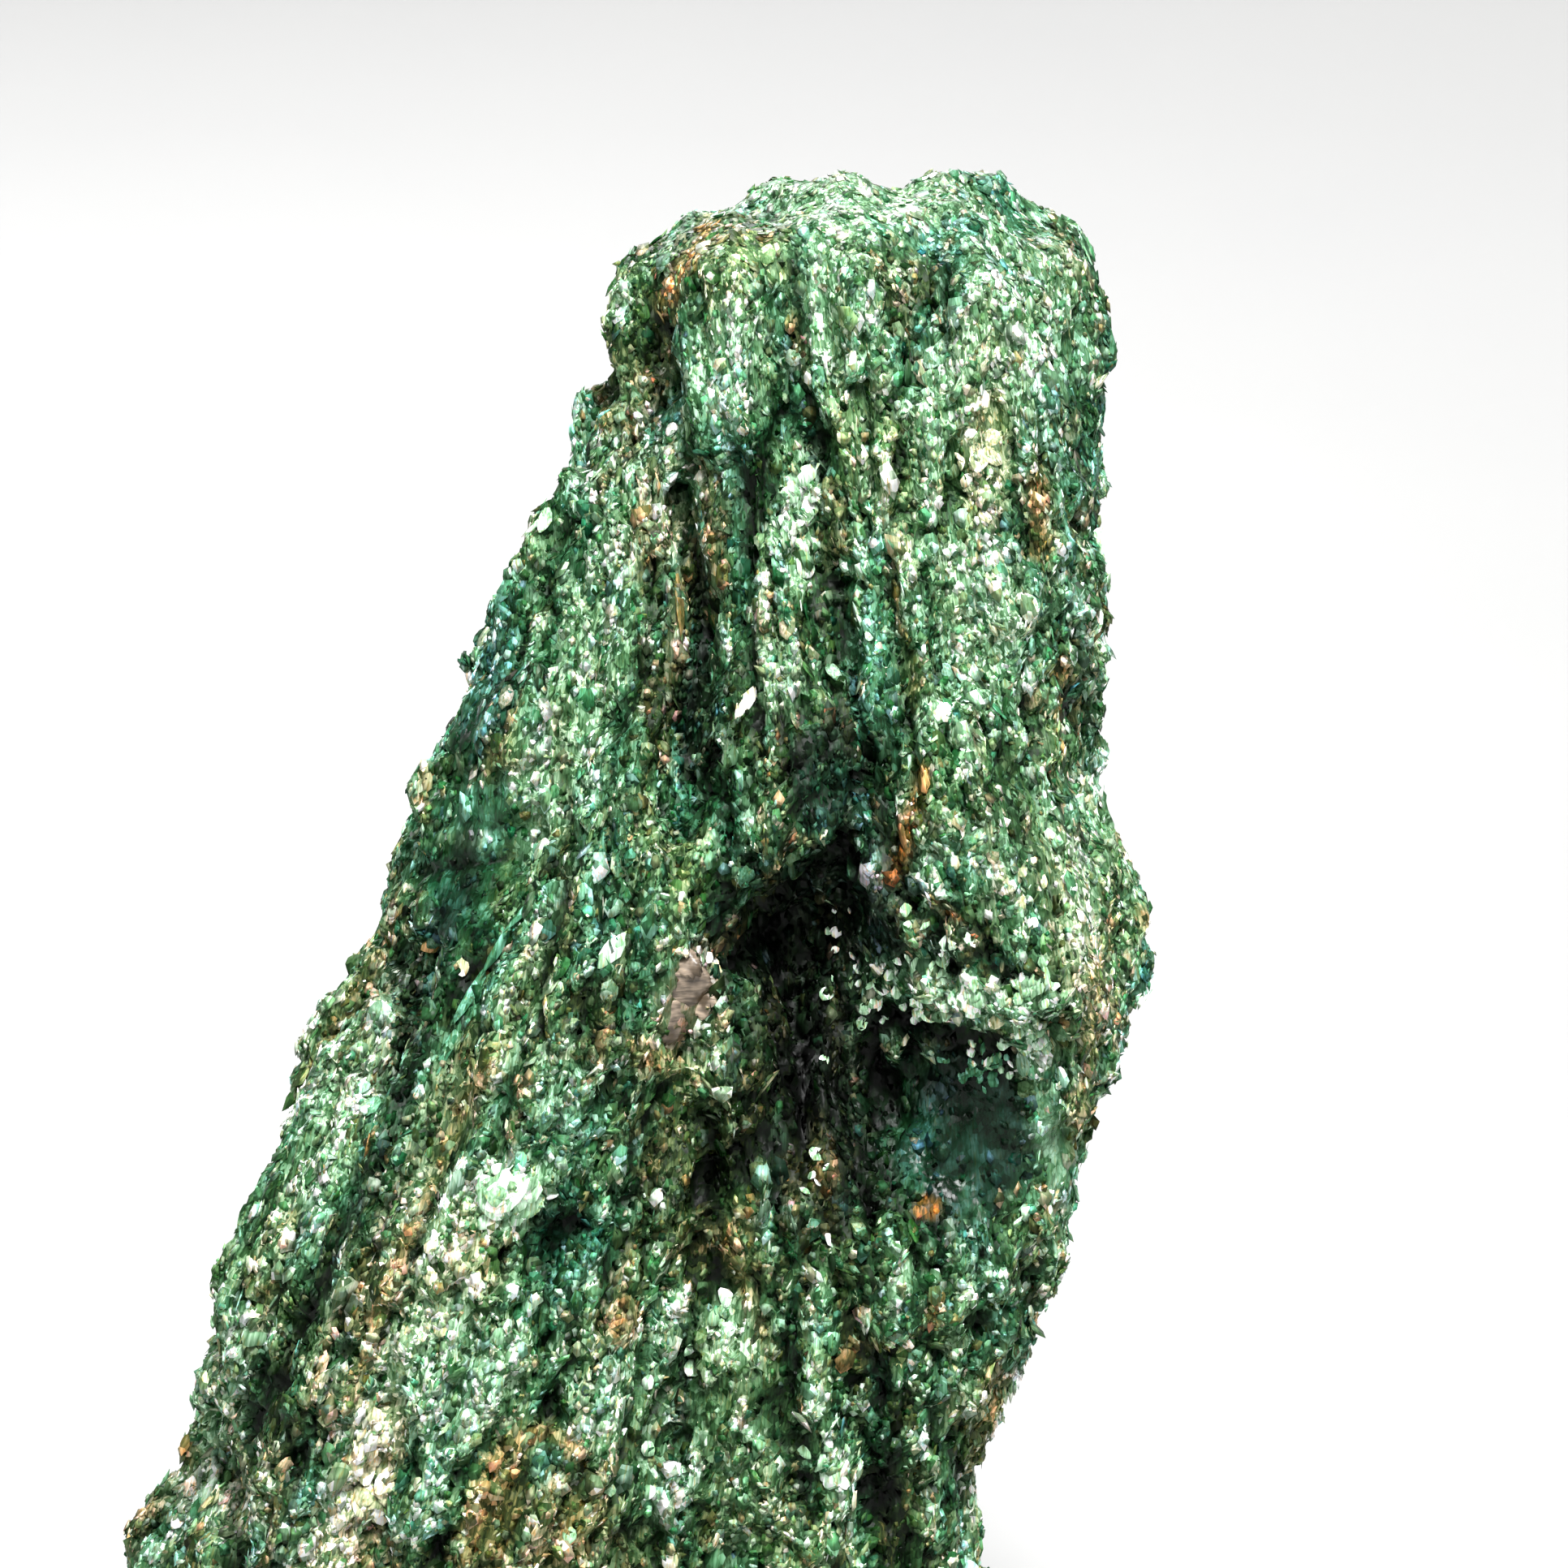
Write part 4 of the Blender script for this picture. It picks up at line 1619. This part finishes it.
LEAVES: tuple[Leaf, ...] = (
    Leaf(LeafKind.LEAF, (9.9, 73.2), 2.6, 55.0, Tone.MINT),
    Leaf(LeafKind.LEAF, (6.8, 60.5), 2.0, 32.0, Tone.CREAM),
    Leaf(LeafKind.LEAF, (-4.4, 70.7), 1.8, 10.0, Tone.MINT),
    Leaf(LeafKind.LEAF, (26.6, 69.3), 2.2, 12.0, Tone.MINT),
    Leaf(LeafKind.LEAF, (26.4, 65.0), 1.8, 14.0, Tone.MINT),
    Leaf(LeafKind.LEAF, (-23.1, 16.2), 1.9, 24.0, Tone.MINT),
    Leaf(LeafKind.BLADE, (-6.6, 47.2), 4.6, 32.0, Tone.JADE),
    Leaf(LeafKind.BLADE, (-8.4, 44.2), 4.6, 24.0, Tone.JADE),
    Leaf(LeafKind.BLADE, (-9.8, 41.2), 4.0, 20.0, Tone.JADE),
    Leaf(LeafKind.BLADE, (-5.4, 49.0), 3.6, 38.0, Tone.JADE),
    Leaf(LeafKind.LEAF, (-0.6, 46.6), 2.4, 35.0, Tone.MINT),
    Leaf(LeafKind.BLADE, (3.1, 66.0), 4.0, 5.0, Tone.OLIVE),
    Leaf(LeafKind.ROUND, (0.9, 75.7), 0.8, 0.0, Tone.CREAM),
    Leaf(LeafKind.ROUND, (17.9, 59.8), 1.2, 20.0, Tone.MINT),
    Leaf(LeafKind.ROUND, (-9.1, 45.6), 1.0, 0.0, Tone.CREAM),
    Leaf(LeafKind.ROUND, (-10.8, 47.0), 1.2, 60.0, Tone.OCHRE),
    Leaf(LeafKind.ROUND, (15.6, 41.7), 0.9, 0.0, Tone.CREAM),
    Leaf(LeafKind.ROUND, (20.9, 42.7), 1.1, 70.0, Tone.CREAM),
    Leaf(LeafKind.ROUND, (-6.5, 33.1), 2.9, 40.0, Tone.MINT),
    Leaf(LeafKind.ROUND, (-7.3, 32.5), 2.0, -30.0, Tone.MINT),
    Leaf(LeafKind.ROUND, (-5.7, 32.3), 2.0, 70.0, Tone.MINT),
    Leaf(LeafKind.ROUND, (-20.6, 25.3), 1.8, 20.0, Tone.MINT),
    Leaf(LeafKind.ROUND, (11.0, 18.0), 1.2, 40.0, Tone.MINT),
    Leaf(LeafKind.ROUND, (2.6, 12.6), 1.3, 0.0, Tone.CREAM),
    Leaf(LeafKind.LEAF, (-24.7, 19.0), 1.3, 10.0, Tone.OCHRE),
)

CLUSTERS: tuple[Cluster, ...] = (
    Cluster((17.1, 43.4), (0.9, 0.9), 13, 0.95, Tone.MINT),
    Cluster((19.4, 44.1), (0.9, 0.8), 13, 1.05, Tone.MINT),
    Cluster((23.0, 44.6), (1.2, 0.9), 14, 1.10, Tone.MINT),
    Cluster((22.4, 41.8), (1.1, 0.9), 12, 0.85, Tone.MINT),
    Cluster((19.8, 40.0), (1.7, 0.9), 26, 0.60, Tone.JADE),
    Cluster((20.6, 40.4), (1.5, 0.8), 14, 0.55, Tone.MINT),
    Cluster((17.0, 46.4), (1.8, 2.2), 24, 0.90, Tone.MINT),
    Cluster((12.2, 47.6), (0.7, 1.9), 8, 0.60, Tone.MINT),
    Cluster((14.0, 44.4), (1.7, 1.9), 22, 0.75, Tone.MINT),
    Cluster((4.9, 45.9), (0.7, 0.5), 5, 0.9, Tone.CREAM),
    Cluster((-14.4, 17.2), (0.8, 2.8), 20, 1.3, Tone.CREAM),
    Cluster((22.4, 50.4), (1.6, 2.6), 9, 0.9, Tone.CREAM),
    Cluster((11.0, 35.4), (0.7, 3.6), 7, 0.8, Tone.MINT),
    Cluster((-6.4, 32.6), (1.5, 1.2), 16, 1.5, Tone.MINT),
    Cluster((11.8, 17.8), (1.4, 1.6), 8, 1.1, Tone.MINT),
    Cluster((-11.5, 26.0), (1.6, 3.4), 8, 0.8, Tone.CREAM),
    Cluster((9.6, 71.4), (1.2, 3.0), 8, 1.2, Tone.MINT),
    Cluster((19.8, 74.0), (1.4, 3.4), 9, 1.1, Tone.CREAM),
    Cluster((2.5, 19.0), (5.5, 4.5), 9, 0.9, Tone.MINT),
    Cluster((5.4, 26.4), (1.2, 1.6), 8, 0.9, Tone.MINT),
)


@dataclass
class LargeFlakes:
    """The large flakes: those picked out on the front one by one, and others all over the stone."""

    scattered: int = 1300
    scattered_length: Limits = (0.7, 1.5)
    scattered_slimness: Limits = (0.45, 0.85)
    scattered_shapes: int = 5
    cluster_spread: float = 0.6
    cluster_lengths: Limits = (0.6, 1.3)
    cluster_leans: Limits = (-60.0, 60.0)
    round_share: float = 0.7
    landing_reach: Place = (0.3, 0.3)
    lift: float = 0.16
    lift_share: float = 0.10
    tip: float = 0.22
    look_up: float = math.radians(28.0)
    view_share: float = 0.8
    level: float = 1.15
    roughness: Limits = (0.25, 0.45)
    form: LeafForm = LeafForm()
    seed: int = 90
    coat: FlakeCoat = field(default_factory=FlakeCoat)

    def leaves(self, chance: np.random.Generator) -> list[Leaf]:
        """Lists the single flakes and those of the clusters."""
        found = list(LEAVES)
        for cluster in CLUSTERS:
            for _ in range(cluster.count):
                away = np.array(cluster.reach) * chance.normal(0.0, self.cluster_spread, 2)
                place = (cluster.place[0] + away[0], cluster.place[1] + away[1])
                kind = LeafKind.ROUND if chance.random() < self.round_share else LeafKind.LEAF
                length = cluster.length * chance.uniform(*self.cluster_lengths)
                found.append(Leaf(kind, place, length, chance.uniform(*self.cluster_leans), cluster.tone))
        return found

    def picked(self, body: bpy.types.Object, chance: np.random.Generator) -> tuple[FlakeSet, list[Shape]]:
        """Lays the flakes of the front on the stone.

        Args:
            body: The stone's body.
            chance: Random numbers.

        Returns:
            The flakes, and a shape for each.
        """
        landing = Landing(body)
        toward = np.array((0.0, -math.cos(self.look_up), math.sin(self.look_up)))
        singles, shapes = [], []
        for number, leaf in enumerate(self.leaves(chance)):
            spot, facing = landing.at(leaf.place, self.landing_reach)
            out = facing + self.view_share * toward + self.tip * chance.standard_normal(3)
            width = leaf.length * leaf.kind.value
            singles.append(Single(
                centre=spot + facing * (self.lift + self.lift_share * width),
                axes=leaning_axes(out, leaf.lean),
                width=width,
                length=leaf.length,
                colour=np.array(leaf.tone.value) * self.level,
                roughness=chance.uniform(*self.roughness),
            ))
            shapes.append(self.form.shape(leaf.kind, number))
        return FlakeSet.of(singles), shapes

    def loose(self, body: bpy.types.Object, chance: np.random.Generator) -> tuple[FlakeSet, list[Shape]]:
        """Lays large flakes all over the stone.

        Args:
            body: The stone's body.
            chance: Random numbers.

        Returns:
            The flakes, and the shapes that they take in turn.
        """
        places, facing, heights = self.coat.spots(body, chance, self.scattered)
        along = self.coat.colouring.foliation.directions(places)
        lengths = chance.uniform(*self.scattered_length, self.scattered)
        widths = lengths * chance.uniform(*self.scattered_slimness, self.scattered)
        tilts = np.full(self.scattered, self.tip)
        flakes = FlakeSet(
            centres=places + facing * self.lift * lengths[:, None],
            axes=flake_axes(facing, along, chance, tilts, self.coat.swing),
            sizes=np.column_stack((widths, lengths, widths)),
            colours=self.coat.colours(places, facing, heights, chance),
        )
        return flakes, [self.form.shape(LeafKind.ROUND, seed) for seed in range(self.scattered_shapes)]

    def build(self, body: bpy.types.Object) -> list[bpy.types.Object]:
        """Makes and dresses the large flakes.

        Args:
            body: The stone's body, which the flakes lie on.

        Returns:
            Two pieces: the flakes of the front, and those all over the stone.
        """
        bpy.context.view_layer.update()
        chance = np.random.default_rng(self.seed)
        material = MicaFinish("mica_plates", plate_width=0.45, plate_length=0.7, plate_tilt=0.30,
                              fibre_tilt=0.30, contrast=0.75).material()
        made = []
        for name, lay in (("flakes_of_front", self.picked), ("flakes_scattered", self.loose)):
            flakes, shapes = lay(body, chance)
            made.append(flakes.piece(name, shapes, material))
        return made


@dataclass
class BrokenFaces:
    """The smooth broken faces of the quartz, which are set in the body."""

    stands_out: float = 0.16
    tip: float = 0.16
    landing_part: float = 3.0
    roughness: Limits = (0.24, 0.40)
    lines: Triple = (900.0, 900.0, 5200.0)
    stain: Colour = (0.060, 0.040, 0.020, 1.0)
    form: FacetForm = FacetForm()
    seed: int = 3

    def build(self, body: bpy.types.Object) -> bpy.types.Object:
        """Makes and dresses the faces.

        Args:
            body: The stone's body, which they are set in.

        Returns:
            The faces as one piece.
        """
        chance = np.random.default_rng(self.seed)
        landing = Landing(body)
        singles, shapes = [], []
        for number, facet in enumerate(QUARTZ_FACETS):
            reach = (facet.width / self.landing_part, facet.length / self.landing_part)
            spot, facing = landing.at(facet.place, reach, facet.lean)
            out = facing + self.tip * chance.standard_normal(3)
            singles.append(Single(
                centre=spot + facing * self.stands_out,
                axes=leaning_axes(out, facet.lean),
                width=facet.width,
                length=facet.length,
                colour=np.array(facet.tone.value) * facet.level,
                roughness=chance.uniform(*self.roughness),
            ))
            shapes.append(self.form.shape(number))
        quartz = FacetFinish("quartz", self.lines, self.stain).material()
        return FlakeSet.of(singles).piece("quartz_faces", shapes, quartz, "mica_schist")


@dataclass(frozen=True)
class Lamp:
    """A square area light: its place, its side and the point that it shines at in metres, and its power."""

    name: str
    place: Triple
    side: float
    watts: float
    aim: Triple = (0.004, 0.0, 0.05)


@dataclass
class Studio:
    """Pale floor that curves up all round, soft lights and the camera. Its sizes are in metres."""

    floor_radius: float = 1.0
    bend_radius: float = 0.7
    wall_height: float = 1.0
    bend_steps: int = 12
    spin_steps: int = 96
    merging: float = 1e-6
    lamps: tuple[Lamp, ...] = (
        Lamp("key", (0.08, -0.34, 0.46), 0.16, 7.0),
        Lamp("fill_left", (-0.48, -0.36, 0.30), 0.24, 1.2),
        Lamp("fill_right", (0.50, -0.10, 0.34), 0.24, 1.0),
        Lamp("back", (-0.10, 0.50, 0.44), 0.30, 3.2),
        Lamp("backdrop", (0.0, 0.35, 0.85), 0.40, 5.0, (0.0, 1.0, 0.25)),
    )
    air: Colour = (1.0, 0.98, 0.94, 1.0)
    air_strength: float = 0.05
    sensor_width: float = 36.0
    clip: Limits = (0.01, 10.0)
    view: FrontView = FrontView()

    def profile(self) -> list[Place]:
        """The floor's profile, from its middle out and up."""
        start = self.floor_radius - self.bend_radius
        places = [(0.0, 0.0), (start, 0.0)]
        for step in range(1, self.bend_steps + 1):
            angle = math.pi / 2.0 * step / self.bend_steps
            out = start + self.bend_radius * math.sin(angle)
            places.append((out, self.bend_radius * (1.0 - math.cos(angle))))
        return places + [(self.floor_radius, self.wall_height)]

    def floor(self) -> None:
        """Makes the floor by spinning its profile about the upright axis."""
        work = bmesh.new()
        points = [work.verts.new((out, 0.0, up)) for out, up in self.profile()]
        edges = [work.edges.new(pair) for pair in zip(points, points[1:])]
        bmesh.ops.spin(work, geom=points + edges, cent=(0.0, 0.0, 0.0), axis=(0.0, 0.0, 1.0),
                       steps=self.spin_steps, angle=2.0 * math.pi, use_merge=True)
        bmesh.ops.remove_doubles(work, verts=work.verts[:], dist=self.merging)
        bmesh.ops.recalc_face_normals(work, faces=work.faces[:])
        bmesh.ops.reverse_faces(work, faces=[f for f in work.faces if f.normal.z < -0.5])
        for face in work.faces:
            face.smooth = True
        mesh = bpy.data.meshes.new("studio_floor")
        work.to_mesh(mesh)
        work.free()
        mesh.materials.append(FloorFinish().material())
        object_from(mesh, "studio_floor")

    def lights(self) -> None:
        """Hangs the lights and sets the light of the surroundings."""
        for lamp in self.lamps:
            data = bpy.data.lights.new(lamp.name, "AREA")
            data.size = lamp.side
            data.energy = lamp.watts
            aim_at(object_from(data, lamp.name), Vector(lamp.place), Vector(lamp.aim))
        world = bpy.data.worlds.new("studio_air")
        world.use_nodes = True
        background = world.node_tree.nodes["Background"]
        background.inputs["Color"].default_value = self.air
        background.inputs["Strength"].default_value = self.air_strength
        bpy.context.scene.world = world
        bpy.context.scene.view_settings.view_transform = "Standard"

    def camera(self) -> None:
        """Puts the camera at the photograph's viewing angle."""
        data = bpy.data.cameras.new("camera")
        data.sensor_width = self.sensor_width
        data.lens = self.sensor_width * self.view.distance / self.view.width
        data.clip_start, data.clip_end = self.clip
        camera = object_from(data, "camera")
        aim_at(camera, self.view.camera_place(), Vector((self.view.across, 0.0, self.view.up)) * MM)
        bpy.context.scene.camera = camera

    def build(self) -> None:
        """Makes the whole studio."""
        self.camera()
        self.floor()
        self.lights()


def report(piece: bpy.types.Object) -> None:
    """Logs a piece and how many triangles it has."""
    piece.data.calc_loop_triangles()
    log.info("%s: %d triangles", piece.name, len(piece.data.loop_triangles))


def main() -> None:
    """Builds the studio and the specimen, and notes their sizes."""
    logging.basicConfig(level=logging.INFO, format="%(name)s: %(message)s")
    Studio().build()
    body = StoneBody().build()
    report(body)
    for piece in FlakeCoat().build(body) + LargeFlakes().build(body):
        report(piece)
    report(BrokenFaces().build(body))


if __name__ == "__main__":
    main()
